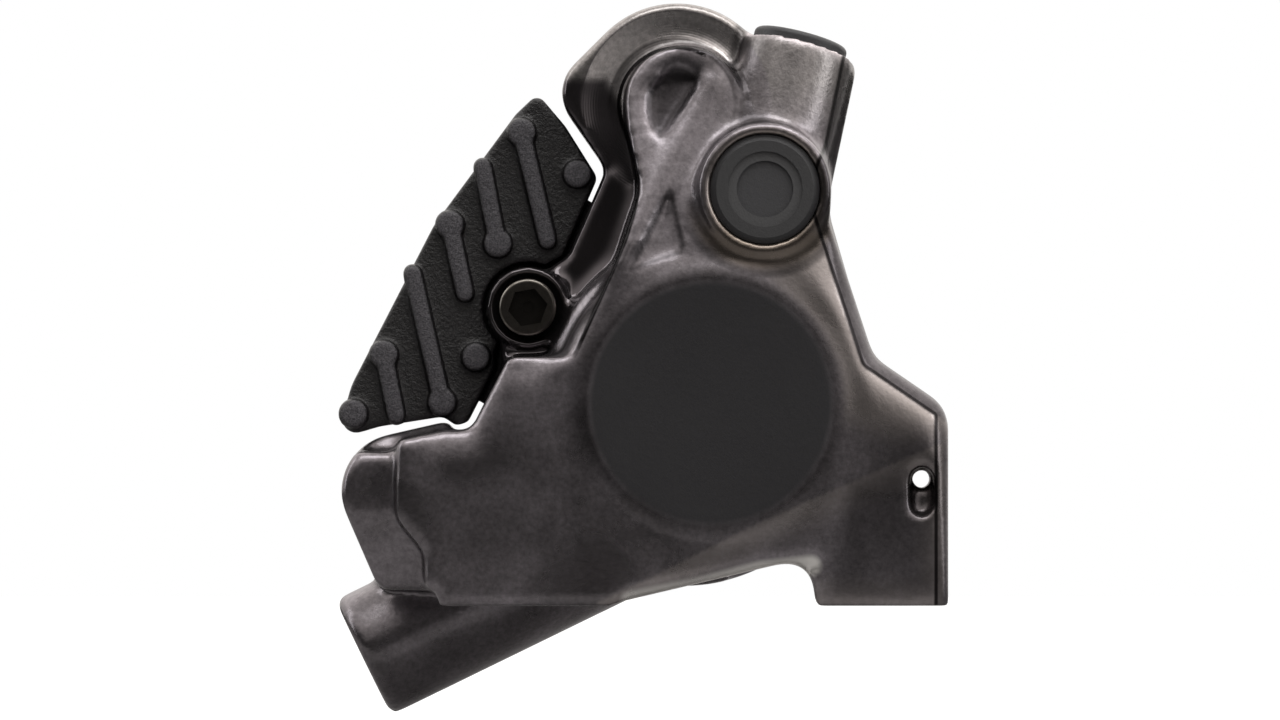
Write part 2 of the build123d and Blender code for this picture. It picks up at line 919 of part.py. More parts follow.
def pad_axle():
    """Screwed pin that the pads hang on, with a hex socket and a clip groove."""
    head_start = axle_boss_depth - axle_recess_depth
    head_end = head_start + axle_head_height
    axle = rounded_slab(
        disc_at(axle_x, axle_z, axle_head_radius), head_start, head_end, axle_head_round
    )
    tail = axle_inboard_boss_depth + clip_gap + axle_tail
    axle += axle_hole(axle_shank_radius, -tail, head_start)
    groove_start = axle_inboard_boss_depth + clip_gap
    groove = disc_at(axle_x, axle_z, axle_shank_radius + cut_overrun)
    groove -= disc_at(axle_x, axle_z, axle_groove_radius)
    axle -= slab(groove, -groove_start, -(groove_start + axle_groove_width))
    socket = Pos(axle_x, axle_z) * hexagon(axle_hex, axle_hex_turn)
    axle -= slab(socket, head_end - axle_hex_depth, head_end)
    dimple_start = head_end - axle_hex_depth - axle_dimple_depth
    return axle - axle_hole(axle_dimple_radius, dimple_start, head_end)


def pad_axle_clip():
    """Open spring ring in the axle's groove."""
    start = axle_inboard_boss_depth + clip_gap + running_clearance
    ring = disc_at(axle_x, axle_z, clip_outer_radius)
    ring -= disc_at(axle_x, axle_z, axle_groove_radius + running_clearance)
    mouth = Pos(axle_x, axle_z - clip_outer_radius) * Rectangle(clip_mouth, 2 * clip_outer_radius)
    return slab(ring - mouth, -start, -(start + clip_thickness))


def pad_spring():
    """Bent sheet spring that spreads the pads and straddles the rotor."""
    face = lining_gap + lining_thickness - spring_plate_gap
    leg_out = spring_leg_share * bore_radius
    leg_far = leg_out + spring_leg_width
    shoulder_in = spring_shoulder - spring_shoulder_width
    pad_edge = Rot(0, 0, radial_angle)
    side_sheet = pad_block(shoulder_in, spring_shoulder, leg_far)
    side_sheet += pad_block(spring_shoulder, spring_bridge_at, spring_bridge_half)
    for turn in (1, -1):
        x, z = pad_place((shoulder_in - spring_leg_reach) / 2, turn * (leg_out + leg_far) / 2)
        side_sheet += Pos(x, z) * pad_edge * Rectangle(
            shoulder_in + spring_leg_reach, spring_leg_width
        )
    spring = slab(side_sheet, face - spring_sheet, face)
    spring += slab(side_sheet, -(face - spring_sheet), -face)
    bridge = pad_block(spring_bridge_at - spring_sheet, spring_bridge_at, spring_bridge_half)
    return spring + slab(bridge, -face, face)


# Valve screw and bleed nipple


def valve_screw():
    """Hex screw that opens the oil way for bleeding, with a cone tip."""
    start = valve_bore_end + valve_seat_gap
    radius = valve_bore_radius - running_clearance
    end = start + valve_screw_length
    screw = drum(valve_x, valve_z, radius, start, end)
    screw += drum(
        valve_x, valve_z, valve_tip_radius - running_clearance, start - valve_tip_length, start
    )
    groove_end = end - valve_ring_from_head
    groove = disc_at(valve_x, valve_z, radius + cut_overrun)
    groove -= disc_at(valve_x, valve_z, valve_groove_radius)
    screw -= slab(groove, groove_end - valve_ring_width, groove_end)
    socket = Pos(valve_x, valve_z) * hexagon(valve_hex, 0)
    return screw - slab(socket, end - valve_hex_depth, end)


def valve_screw_o_ring():
    """O-ring in the groove of the valve screw."""
    end = valve_bore_end + valve_seat_gap + valve_screw_length - valve_ring_from_head
    ring = disc_at(valve_x, valve_z, valve_bore_radius - seal_clearance)
    ring -= disc_at(valve_x, valve_z, valve_groove_radius + seal_clearance)
    inset = seal_side_clearance
    return slab(ring, end - valve_ring_width + inset, end - inset)


def valve_screw_cap():
    """Rubber plug over the valve screw, stepped down to its middle."""
    seat = valve_face_depth - valve_cap_room + running_clearance
    front = valve_face_depth - valve_cap_sink
    outer = valve_cap_radius - running_clearance
    profile = (
        (0, seat + valve_cap_hollow),
        (valve_bore_radius, seat + valve_cap_hollow),
        (valve_bore_radius + valve_cap_lip, seat),
        (outer, seat),
        (outer, front - valve_cap_step),
        (valve_cap_step_radius, front),
        (valve_cap_inner_radius, front),
        (valve_cap_inner_radius, front - valve_cap_step),
        (valve_cap_centre_radius, front - valve_cap_step),
        (valve_cap_centre_radius, front - 2 * valve_cap_step),
        (0, front - 2 * valve_cap_step),
    )
    return turned(Plane(origin=side_point(valve_x, valve_z, 0), z_dir=(0, -1, 0)), profile)


def bleed_nipple():
    """Screwed nipple with a flange and a barb for the bleed hose."""
    shank = nipple_bore_radius - seal_clearance
    floor = -nipple_room_depth
    flange = floor + nipple_flange_height
    tip = flange + nipple_barb_height
    groove = floor - nipple_seal_from_flange
    bottom = floor - nipple_bore_depth + nipple_seat_gap
    profile = (
        (nipple_hole_radius, bottom),
        (shank - nipple_tip_taper, bottom),
        (shank, bottom + nipple_tip_taper),
        (shank, groove - nipple_seal_width),
        (nipple_seal_radius, groove - nipple_seal_width),
        (nipple_seal_radius, groove),
        (shank, groove),
        (shank, floor),
        (nipple_flange_radius, floor),
        (nipple_flange_radius, flange),
        (nipple_neck_radius, flange),
        (nipple_neck_radius, tip - nipple_barb_head),
        (nipple_barb_radius, tip - nipple_barb_head),
        (nipple_neck_radius, tip),
        (nipple_hole_radius, tip),
    )
    return turned(top_plane(), profile)


def bleed_nipple_seal():
    """O-ring in the nipple's groove."""
    top = -nipple_room_depth - nipple_seal_from_flange - seal_clearance
    ring = Circle(nipple_bore_radius - seal_clearance / 2)
    ring -= Circle(nipple_seal_radius + seal_clearance)
    return extrude(top_plane().offset(top) * ring, -(nipple_seal_width - 2 * seal_clearance))


def bleed_nipple_cap():
    """Rubber cap over the nipple, flush in the top boss apart from its rounded crown."""
    outer = nipple_room_radius - running_clearance
    inner = outer - nipple_cap_wall
    bottom = -nipple_room_depth + running_clearance
    roof = nipple_cap_rise - nipple_cap_roof
    profile = (
        (0, roof),
        (inner, roof),
        (inner, bottom),
        (outer, bottom),
        (outer, nipple_cap_rise),
        (0, nipple_cap_rise),
    )
    cap = turned(top_plane(), profile)
    rim = cap.edges().filter_by(GeomType.CIRCLE).sort_by(Axis.Z)[-1]
    return fillet(rim, nipple_cap_round)


pieces = {
    "outboard_body": outboard_body(),
    "inboard_body": inboard_body(),
    "body_bolts": body_bolts(),
    "transfer_seal": transfer_seal(),
    "pad_axle": pad_axle(),
    "pad_axle_clip": pad_axle_clip(),
    "pad_spring": pad_spring(),
    "valve_screw": valve_screw(),
    "valve_screw_o_ring": valve_screw_o_ring(),
    "valve_screw_cap": valve_screw_cap(),
    "bleed_nipple": bleed_nipple(),
    "bleed_nipple_seal": bleed_nipple_seal(),
    "bleed_nipple_cap": bleed_nipple_cap(),
}
mirrored = {
    "piston": piston(),
    "piston_seal": piston_seal(),
    "pad_plate": pad_plate(),
    "pad_lining": pad_lining(),
    "pad_fin": pad_fin(),
    "pad_rivets": pad_rivets(),
}
for name, shape in mirrored.items():
    pieces["outboard_" + name] = shape
    pieces["inboard_" + name] = mirror(shape, about=at_depth(0))

os.makedirs("parts", exist_ok=True)
for name, shape in pieces.items():
    export_step(shape, f"parts/{name}.step")
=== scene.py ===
import math

import bmesh
import bpy
import numpy as np
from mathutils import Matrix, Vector


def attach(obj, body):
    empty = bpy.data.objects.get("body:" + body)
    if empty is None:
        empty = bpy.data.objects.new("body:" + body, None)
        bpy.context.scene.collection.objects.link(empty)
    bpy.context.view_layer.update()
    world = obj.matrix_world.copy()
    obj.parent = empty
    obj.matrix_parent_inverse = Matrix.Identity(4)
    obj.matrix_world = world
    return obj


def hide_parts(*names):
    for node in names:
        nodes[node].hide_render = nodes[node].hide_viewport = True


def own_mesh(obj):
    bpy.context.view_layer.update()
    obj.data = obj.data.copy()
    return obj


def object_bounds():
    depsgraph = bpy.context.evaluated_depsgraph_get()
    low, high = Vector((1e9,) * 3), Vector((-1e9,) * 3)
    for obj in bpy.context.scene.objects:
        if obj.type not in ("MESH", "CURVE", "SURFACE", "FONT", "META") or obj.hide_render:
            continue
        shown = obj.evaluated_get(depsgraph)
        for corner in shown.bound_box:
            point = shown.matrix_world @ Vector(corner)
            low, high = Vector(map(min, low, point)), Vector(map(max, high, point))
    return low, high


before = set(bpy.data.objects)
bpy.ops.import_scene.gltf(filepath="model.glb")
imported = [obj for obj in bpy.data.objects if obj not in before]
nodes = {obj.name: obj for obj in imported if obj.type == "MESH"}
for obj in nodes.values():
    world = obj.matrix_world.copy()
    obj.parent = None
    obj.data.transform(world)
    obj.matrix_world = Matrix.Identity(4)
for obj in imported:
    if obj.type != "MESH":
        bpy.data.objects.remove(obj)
cad_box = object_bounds()

# Camera. The photograph looks squarely at the outboard side through a long lens.
# Its scale is fixed by the two frame bolts: 34 mm between them is 394.4 of its 1280 pixels.
mm = 0.001
bolt_pitch = 34 * mm
pitch_in_pixels = 394.4
picture_size = (1280, 720)
origin_in_picture = (688, 606)
camera_distance = 2.0
face_y = -4.4 * mm
pixel = bolt_pitch / pitch_in_pixels


def in_picture(across, down, y=0.0):
    """Point in the frame that the photograph shows at a pixel, at a chosen y."""
    return Vector(((across - origin_in_picture[0]) * pixel, y,
                   (origin_in_picture[1] - down) * pixel))


camera_data = bpy.data.cameras.new("camera")
camera = bpy.data.objects.new("camera", camera_data)
bpy.context.collection.objects.link(camera)
middle = in_picture(picture_size[0] / 2, picture_size[1] / 2)
camera.location = middle + Vector((0, face_y - camera_distance, 0))
camera.rotation_euler = (math.pi / 2, 0, 0)
camera_data.lens = camera_data.sensor_width * camera_distance / (picture_size[0] * pixel)
camera_data.clip_start = camera_distance / 100
camera_data.clip_end = camera_distance * 3
bpy.context.scene.camera = camera
bpy.context.scene.view_settings.view_transform = "Standard"

# Studio. A bright ceiling, a soft right wall and a white backdrop behind the caliper, and a
# dark room on the camera's side, which polished metal needs to look dark. White paper sweep,
# painted paler near the caliper as a pool of light.


def add_node(tree, kind, links=(), **settings):
    """Adds one node with its settings, and joins or fills the inputs that links names."""
    node = tree.nodes.new(kind)
    for name, value in settings.items():
        setattr(node, name, value)
    for socket, value in links:
        if isinstance(value, bpy.types.NodeSocket):
            tree.links.new(value, node.inputs[socket])
        else:
            node.inputs[socket].default_value = value
    return node


def linear(hex_colour):
    """sRGB hex text as linear red, green, blue and alpha."""
    channels = [int(hex_colour[i:i + 2], 16) / 255 for i in (1, 3, 5)]
    return [c / 12.92 if c <= 0.04045 else ((c + 0.055) / 1.055) ** 2.4 for c in channels] + [1.0]


def new_material(name):
    """Empty node material: the material, its tree and its output."""
    material = bpy.data.materials.new(name)
    material.use_nodes = True
    material.node_tree.nodes.clear()
    return material, material.node_tree, material.node_tree.nodes.new("ShaderNodeOutputMaterial")


def soft_box(name, place, aim, size, power):
    """Rectangular area lamp at a place, turned to a point."""
    data = bpy.data.lights.new(name, "AREA")
    data.shape = "RECTANGLE"
    data.size, data.size_y = size
    data.energy = power
    lamp = bpy.data.objects.new(name, data)
    lamp.location = place
    lamp.rotation_euler = (Vector(aim) - Vector(place)).to_track_quat("-Z", "Y").to_euler()
    bpy.context.collection.objects.link(lamp)


# Ceiling, right wall and backdrop: the axis each one rises along, where in the direction it
# rises, and its brightness before and after.
room_sides = (("Z", (0.1, 0.7), (0.0, 1.0)), ("X", (0.12, 0.45), (0.0, 0.6)),
              ("Y", (0.1, 0.6), (0.035, 0.8)))
# Name, place from the caliper's middle, width and height in metres, and watts.
lamps = (("top_box", (0.03, -0.16, 0.42), (0.5, 0.22), 1.1),
         ("right_box", (0.45, -0.16, 0.12), (0.16, 0.4), 0.5),
         ("left_box", (-0.45, 0.05, 0.2), (0.14, 0.4), 0.4))
world = bpy.data.worlds.new("studio")
bpy.context.scene.world = world
world.use_nodes = True
tree = world.node_tree
tree.nodes.clear()
output = tree.nodes.new("ShaderNodeOutputWorld")
direction = add_node(tree, "ShaderNodeTexCoord")
axes = add_node(tree, "ShaderNodeSeparateXYZ", [(0, direction.outputs["Generated"])])
ceiling, right_wall, backdrop = [
    add_node(tree, "ShaderNodeMapRange", [
        ("Value", axes.outputs[axis]), ("From Min", rise[0]), ("From Max", rise[1]),
        ("To Min", levels[0]), ("To Max", levels[1]),
    ], interpolation_type="SMOOTHSTEP").outputs[0]
    for axis, rise, levels in room_sides
]
walls = add_node(tree, "ShaderNodeMath", [(0, right_wall), (1, backdrop)], operation="ADD")
level = add_node(tree, "ShaderNodeMath", [
    (0, ceiling), (1, walls.outputs[0]),
], operation="ADD")
room = add_node(tree, "ShaderNodeBackground", [
    ("Color", linear("#fffaf6")), ("Strength", level.outputs[0]),
])
white = add_node(tree, "ShaderNodeBackground", [("Color", linear("#ffffff")), ("Strength", 1.0)])
path = add_node(tree, "ShaderNodeLightPath")
mix = add_node(tree, "ShaderNodeMixShader", [
    (0, path.outputs["Is Camera Ray"]), (1, room.outputs[0]), (2, white.outputs[0]),
])
tree.links.new(mix.outputs[0], output.inputs[0])

centre = (cad_box[0] + cad_box[1]) / 2
for name, offset, size, power in lamps:
    soft_box(name, centre + Vector(offset), centre, size, power)

floor_drop = 2 * mm
floor_half = 1.2
light_pool_reach = (0.04, 0.16)
floor_z = cad_box[0].z - floor_drop
floor_mesh = bpy.data.meshes.new("floor")
floor_mesh.from_pydata(
    [(x * floor_half, y * floor_half, floor_z) for x, y in ((-1, -1), (1, -1), (1, 1), (-1, 1))],
    [], [(0, 1, 2, 3)],
)
floor = bpy.data.objects.new("floor", floor_mesh)
bpy.context.collection.objects.link(floor)
material, tree, output = new_material("white_paper_sweep")
paper = add_node(tree, "ShaderNodeBsdfDiffuse", [("Color", linear("#9a9a9a"))])
lit_paper = add_node(tree, "ShaderNodeEmission", [("Color", linear("#ffffff")), ("Strength", 0.8)])
seen = add_node(tree, "ShaderNodeAddShader", [(0, paper.outputs[0]), (1, lit_paper.outputs[0])])
from_object = add_node(tree, "ShaderNodeVectorMath", [
    (0, add_node(tree, "ShaderNodeTexCoord").outputs["Object"]),
    (1, (centre.x, centre.y, floor_z)),
], operation="DISTANCE")
far_away = add_node(tree, "ShaderNodeMapRange", [
    ("Value", from_object.outputs["Value"]), ("From Min", light_pool_reach[0]),
    ("From Max", light_pool_reach[1]),
], interpolation_type="SMOOTHSTEP")
# Painted pool of light: for all but camera rays the paper is painted paler near the caliper and
# darker far off.
paper_light_pool = add_node(tree, "ShaderNodeMixRGB", [
    (0, far_away.outputs[0]), (1, linear("#8c8c8c")), (2, linear("#3a3a3a")),
])
shade = add_node(tree, "ShaderNodeBsdfDiffuse", [("Color", paper_light_pool.outputs[0])])
path = add_node(tree, "ShaderNodeLightPath")
mix = add_node(tree, "ShaderNodeMixShader", [
    (0, path.outputs["Is Camera Ray"]), (1, shade.outputs[0]), (2, seen.outputs[0]),
])
tree.links.new(mix.outputs[0], output.inputs[0])
floor_mesh.materials.append(material)

# Outboard body half. One aluminium forging, machined at its joint, bores and bosses, then
# anodised dark brown-grey. Hollow corners are softly blended, machined rims are crisp, and the
# front rolls over at its neck, web and arch, with a low strap from the lobe to the web.
rotor_plane_y = 13.8 * mm
lobe_pixel = (676, 104)
piston_at = in_picture(711, 403)
axle_at = in_picture(527.3, 307.2)
valve_at = in_picture(765, 189)
lobe_at = in_picture(*lobe_pixel)
pin_at = in_picture(922, 490)
pads_turn = math.radians(150)
top_boss_at = in_picture(800.2, 45.3, 4.6 * mm)
top_boss_way = Vector((0.247943, 0.139173, 0.958726))
bore_room = (12.9 * mm, 16.4 * mm)
pad_room = (12.6 * mm, 8.6 * mm)
valve_rim = 4.4 * mm
axle_seat = 3.35 * mm
pin_room = 2.8 * mm
clip_seat = 4.2 * mm
bore_wall = 11.05 * mm
bore_end = 16.2 * mm
clip_face = 10.18 * mm
wall_slack = 0.45 * mm
nipple_rim = 4.5 * mm
joint_depth = 5 * mm
foot_edge = 0.6 * mm
merge_distance = 0.001 * mm
body_grid = 0.34 * mm
grid_rounds = 6
blend_rounds = 9
front_depths = (10.5 * mm, 14.5 * mm)
arm_depths = (8.0 * mm, 9.5 * mm)
dome_guard = (13.2 * mm, 15.0 * mm)
valve_guard = (6.0 * mm, 7.0 * mm)
neck_line = ((829, 168), (827, 214), (874, 357), (948.5, 408))
web_line = ((440, 432), (470, 431), (503, 368), (571, 357))
arch_line = ((811, 566), (760, 572), (700, 588), (631, 602))
rolls = ((neck_line, 4.2 * mm, 0.75 * mm), (web_line, 3.4 * mm, 0.6 * mm),
         (arch_line, 1.2 * mm, 1.1 * mm))
strap_line = ((712, 84), (640, 215), (590, 330))
strap_half = 1.45 * mm
strap_height = 0.4 * mm
arm_pixels = 57.4
arm_turns = range(60, 181, 5)
arm_outline = [(lobe_pixel[0] + arm_pixels * math.cos(math.radians(turn)),
                lobe_pixel[1] - arm_pixels * math.sin(math.radians(turn))) for turn in arm_turns]
arm_outline += [(620, 116), (625, 130), (633, 155), (638, 178), (636, 205), (626, 238), (612, 272),
                (574, 357)]
land_corners = ((560, 78), (606, 78), (624, 110), (644, 190), (620, 262), (573, 356), (506, 366),
                (470, 431), (440, 330), (540, 200))
crease_line = ((596, 602), (660, 572), (752, 525), (840, 486), (945, 440))
foot_corners = ((846, 480), (940, 446), (946, 606), (822, 606))
rear_line = ((856, 60), (838, 150), (829, 168), (827, 214), (874, 357), (948.5, 408), (948.5, 650))
teardrop_corners = ((675, 64), (660, 75), (648, 89.5), (645.5, 101), (648, 117), (653, 129),
                    (660, 138), (684, 103), (699.5, 79), (690, 68))
triangle_corners = ((670, 190), (683, 244), (681, 252), (666, 257), (631, 269))
crease_base = ((945, 606), (596, 606))
land_edge = 0.5 * mm
land_depths = (11.6 * mm, 10.9 * mm)
axle_land = (3.9 * mm, 3.6 * mm)
boss_edge = (4.95 * mm, 4.6 * mm)
boss_rows = (178, 120)
beside_ring = 5.3 * mm
beside_edge = (0.7 * mm, 0.2 * mm)
beside_rows = (150, 115)
beside_columns = (775, 760)
neck_start = (0.9 * mm, 1.3 * mm)
neck_end = (7.5 * mm, 4 * mm)
neck_foot_rows = (455, 410)
neck_top_rows = (235, 262)
neck_dome = (11 * mm, 12.2 * mm)
crease_start = 0.2 * mm
crease_end = (3.2 * mm, 0.4 * mm)
foot_edge_fade = (-0.6 * mm, 1.4 * mm)


def smooth_share(values, start, end):
    """Smooth change from 0 at start to 1 at end, which may be the lower of the two."""
    share = np.clip((values - start) / (end - start), 0, 1)
    return share * share * (3 - 2 * share)


def line_distance(points, corners, closed=False):
    """Distance in the side view from each point to the nearest place of a line of corners.

    A closed line counts as an outline, and the distance is negative outside it.
    """
    flat = points[:, [0, 2]]
    corners = np.array([in_picture(*corner) for corner in corners])[:, [0, 2]]
    ends = np.roll(corners, -1, axis=0) if closed else corners[1:]
    nearest = np.full(len(flat), np.inf)
    inside = np.zeros(len(flat), dtype=bool)
    for start, end in zip(corners, ends):
        side = end - start
        share = np.clip((flat - start) @ side / (side @ side), 0, 1)
        away = np.linalg.norm(flat - start - share[:, None] * side, axis=1)
        nearest = np.minimum(nearest, away)
        if start[1] != end[1]:
            crosses = (start[1] > flat[:, 1]) != (end[1] > flat[:, 1])
            at = start[0] + side[0] * (flat[:, 1] - start[1]) / side[1]
            inside ^= crosses & (flat[:, 0] < at)
    return np.where(inside | (not closed), nearest, -nearest)


def heights(rows):
    """Heights in the frame of rows of the photograph."""
    return [in_picture(0, row).z for row in rows]


def from_axis(points, place, way=Vector((0, 1, 0))):
    """Distance of each point from the line through a place along a way."""
    away = points - np.array(place)
    along = away @ np.array(way)
    return np.linalg.norm(away - along[:, None] * np.array(way), axis=1)


def free_skin(points):
    """1 where the forging keeps its skin, 0 on bores, seats and the room for the pads."""
    across, up = points[:, 0] - piston_at.x, points[:, 2] - piston_at.z
    outward = across * math.cos(pads_turn) + up * math.sin(pads_turn)
    along = across * math.sin(pads_turn) - up * math.cos(pads_turn)
    depth = np.abs(points[:, 1] - rotor_plane_y)
    machined = (from_axis(points, piston_at) < bore_room[0]) & (depth < bore_room[1])
    machined |= (outward > -pad_room[0]) & (np.abs(along) < pad_room[0]) & (depth < pad_room[1])
    machined |= from_axis(points, valve_at) < valve_rim
    machined |= (from_axis(points, axle_at) < axle_seat) & (depth < bore_room[1])
    machined |= from_axis(points, pin_at) < pin_room
    machined |= (from_axis(points, axle_at) < clip_seat) & (points[:, 1] > rotor_plane_y)
    machined |= from_axis(points, top_boss_at, top_boss_way) < nipple_rim
    machined |= (depth < joint_depth) | (points[:, 2] < foot_edge)
    return np.where(machined, 0.0, 1.0)


def front_relief(points):
    """Each point's move in depth: the rolled edges fall back as the square of the nearness to
    their line, and the strap stands out smoothly about its own line."""
    depth = rotor_plane_y - points[:, 1]
    free = smooth_share(depth, *front_depths)
    free = free * smooth_share(from_axis(points, piston_at), *dome_guard)
    free = free * smooth_share(from_axis(points, valve_at), *valve_guard)
    move = np.zeros(len(points))
    for line, width, drop in rolls:
        nearness = np.clip(1 - line_distance(points, line) / width, 0, 1)
        move = np.maximum(move, drop * nearness ** 2 * free)
    strap = smooth_share(line_distance(points, strap_line), strap_half, strap_half / 3)
    strap = strap * smooth_share(depth, *arm_depths)
    strap = strap * smooth_share(from_axis(points, piston_at), *dome_guard)
    return move - strap_height * strap


def true_round(points, place, radius, start, end):
    """Points near a round wall, between two depths, set on its true circle."""
    spoke = points[:, [0, 2]] - np.array([place.x, place.z])
    reach = np.linalg.norm(spoke, axis=1)
    depth = np.abs(points[:, 1] - rotor_plane_y)
    near = (np.abs(reach - radius) < wall_slack) & (depth > start) & (depth < end)
    circle = np.array([place.x, place.z]) + spoke[near] / reach[near, None] * radius
    points[np.ix_(near, [0, 2])] = circle


def true_bore(points, normals):
    """Bore wall, bore end and the face under the axle clip set true, so that nothing rubs.

    The normals come with every settling call, and a round wall has no need of them.
    """
    true_round(points, piston_at, bore_wall, pad_room[1], bore_end + wall_slack)
    reach = from_axis(points, piston_at)
    away = points[:, 1] - rotor_plane_y
    floor = (reach < bore_wall + wall_slack) & (np.abs(np.abs(away) - bore_end) < wall_slack)
    points[floor, 1] = rotor_plane_y + np.sign(away[floor]) * bore_end
    boss_end = (from_axis(points, axle_at) < clip_seat) & (np.abs(away - clip_face) < wall_slack)
    points[boss_end, 1] = rotor_plane_y + clip_face


def merged_copy(node_name, piece_name):
    """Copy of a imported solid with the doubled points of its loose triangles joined."""
    mesh = nodes[node_name].data.copy()
    work = bmesh.new()
    work.from_mesh(mesh)
    bmesh.ops.remove_doubles(work, verts=work.verts, dist=merge_distance)
    work.to_mesh(mesh)
    work.free()
    piece = bpy.data.objects.new(piece_name, mesh)
    bpy.context.collection.objects.link(piece)
    return piece


def blended_copy(node_name, piece_name, body, grid_size, rounds, free, relief=None,
                 settle=None):
    """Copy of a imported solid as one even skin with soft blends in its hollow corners.

    In each round a point moves half way to the mean of its neighbours. In the first rounds
    all points move, which takes the steps of the grid off, and in the later ones only those
    whose mean lies outside the skin, so that hollows fill and outer edges stay. The relief
    moves points in depth before the rounds, and settle sets them in place after them.
    """
    piece = merged_copy(node_name, piece_name)
    grid = piece.modifiers.new("even_grid", "REMESH")
    grid.mode = "VOXEL"
    grid.voxel_size = grid_size
    evaluated = piece.evaluated_get(bpy.context.evaluated_depsgraph_get())
    mesh = bpy.data.meshes.new_from_object(evaluated)
    piece.modifiers.clear()
    piece.data = mesh
    count = len(mesh.vertices)
    points = np.empty(count * 3, dtype=np.float32)
    mesh.vertices.foreach_get("co", points)
    points = points.reshape(-1, 3).astype(float)
    ends = np.empty(len(mesh.edges) * 2, dtype=np.int32)
    mesh.edges.foreach_get("vertices", ends)
    ends = ends.reshape(-1, 2)
    ends = np.concatenate([ends, ends[:, ::-1]])
    neighbours = np.bincount(ends[:, 0], minlength=count)[:, None]
    normals = np.empty(count * 3, dtype=np.float32)
    moving = free(points)[:, None]
    if relief:
        points[:, 1] += relief(points)
    for turn in range(grid_rounds + rounds):
        sums = [np.bincount(ends[:, 0], points[ends[:, 1], axis], count) for axis in range(3)]
        step = np.stack(sums, axis=1) / neighbours - points
        if turn >= grid_rounds:
            mesh.vertex_normals.foreach_get("vector", normals)
            outside = np.sum(step * normals.reshape(-1, 3), axis=1, keepdims=True) > 0
            step = step * outside * moving
        points = points + step / 2
        mesh.vertices.foreach_set("co", points.astype(np.float32).ravel())
        mesh.update()
    if settle:
        mesh.vertex_normals.foreach_get("vector", normals)
        settle(points, normals.reshape(-1, 3))
        mesh.vertices.foreach_set("co", points.astype(np.float32).ravel())
        mesh.update()
    mesh.polygons.foreach_set("use_smooth", np.ones(len(mesh.polygons), dtype=bool))
    mesh.materials.clear()
    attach(piece, body)
    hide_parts(node_name)
    return piece, points


def keep(piece, name, values):
    """Stores one number for each point of a piece, which its material reads."""
    piece.data.attributes.new(name, "FLOAT", "POINT").data.foreach_set(
        "value", np.asarray(values, dtype=np.float32)
    )


outboard_half, points = blended_copy(
    "outboard_body", "outboard_half", "caliper", body_grid, blend_rounds, free_skin, front_relief,
    true_bore,
)
land_depth = rotor_plane_y - points[:, 1]
# The low land by the fin and the axle boss: glossier, and painted near black there as shade.
land_gloss_and_shade = smooth_share(line_distance(points, land_corners, True), -land_edge, land_edge)
land_gloss_and_shade = land_gloss_and_shade * smooth_share(land_depth, *land_depths)
land_gloss_and_shade = np.maximum(land_gloss_and_shade, smooth_share(from_axis(points, axle_at), *axle_land))
from_boss = from_axis(points, top_boss_at, top_boss_way)
# The top boss: gritty and rougher, and painted pale as a highlight where it faces the ceiling.
boss_grit_and_highlight = smooth_share(from_boss, *boss_edge) * smooth_share(points[:, 2], *heights(boss_rows))
# Painted shade in a band beside the top boss, on its left side.
boss_side_shade_share = smooth_share(np.abs(from_boss - beside_ring), *beside_edge)
boss_side_shade_share = boss_side_shade_share * smooth_share(points[:, 2], *heights(beside_rows))
beside_ends = [in_picture(column, 0).x for column in beside_columns]
boss_side_shade_share = boss_side_shade_share * smooth_share(points[:, 0], *beside_ends)
# Painted highlight along the neck's rolled edge, between the valve boss and the foot.
neck = line_distance(points, neck_line)
neck = smooth_share(neck, *neck_start) * smooth_share(neck, *neck_end)
neck = neck * smooth_share(points[:, 2], *heights(neck_foot_rows))
neck = neck * smooth_share(points[:, 2], *heights(neck_top_rows))
neck = neck * smooth_share(from_axis(points, piston_at), *neck_dome)
# Painted highlight on the foot's lower face, under the crease.
below_crease_highlight = line_distance(points, crease_line + crease_base, True)
below_crease_highlight = smooth_share(below_crease_highlight, 0, crease_start) * smooth_share(below_crease_highlight, *crease_end)
# Painted shade on the right foot.
foot_shade_share = smooth_share(line_distance(points, foot_corners, True), *foot_edge_fade)
# The marks that the finish reads: shares from 0 to 1, and distances in metres from the lines
# named edge and from the two outlines. Most of them place painted highlights and painted shade.
outboard_marks = {
    "land_gloss_and_shade": land_gloss_and_shade, "boss_grit_and_highlight": boss_grit_and_highlight, "boss_side_shade": boss_side_shade_share, "neck": neck,
    "lower_face_highlight": below_crease_highlight, "foot_shade_share": foot_shade_share,
    "arm_edge": line_distance(points, arm_outline),
    "rear_edge": line_distance(points, rear_line),
    "arch_edge": line_distance(points, arch_line),
    "teardrop": line_distance(points, teardrop_corners, True),
    "triangle": line_distance(points, triangle_corners, True),
}
for name, values in outboard_marks.items():
    keep(outboard_half, name, values)

# Anodised aluminium over a blasted skin: dark, metallic and satin with cloudy gloss. It is
# glossy on the low land by the fin, painted near black there as shade, and gritty on the top
# boss, painted pale there as a highlight. Creases, pockets, the foot and the rear band carry
# painted shade; the neck, lower face, arch, lobe rim and lip carry painted highlights. The
# bolt seat shows turning marks, the dome a matte printed disc.
# Blast grit and turning marks usually stand about 0.15 and 0.1 mm apart. Both are drawn
# coarser here, so that they show in the picture.
cloud_size = 7 * mm
grit_size = 0.45 * mm
grit_height = 0.07 * mm
wave_size = 16 * mm
wave_height = 0.55 * mm
turning_pitch = 0.22 * mm
turning_height = 0.01 * mm
half_split = 7 * mm
disc_edge = (10.05 * mm, 10.9 * mm)
disc_skin = 0.6 * mm
spot_ring = (8.1 * mm, 8.2 * mm)
spot_depths = (9.9 * mm, 9.5 * mm)
rim_ring = 8.35 * mm
rim_fade = 2 * mm
root_ring = (5.45 * mm, 0.6 * mm)
dome_fade = 12.8 * mm
arch_band = (0.5 * mm, 1.2 * mm)
crease_half = 0.13 * mm
arm_foot_rows = (365, 340)
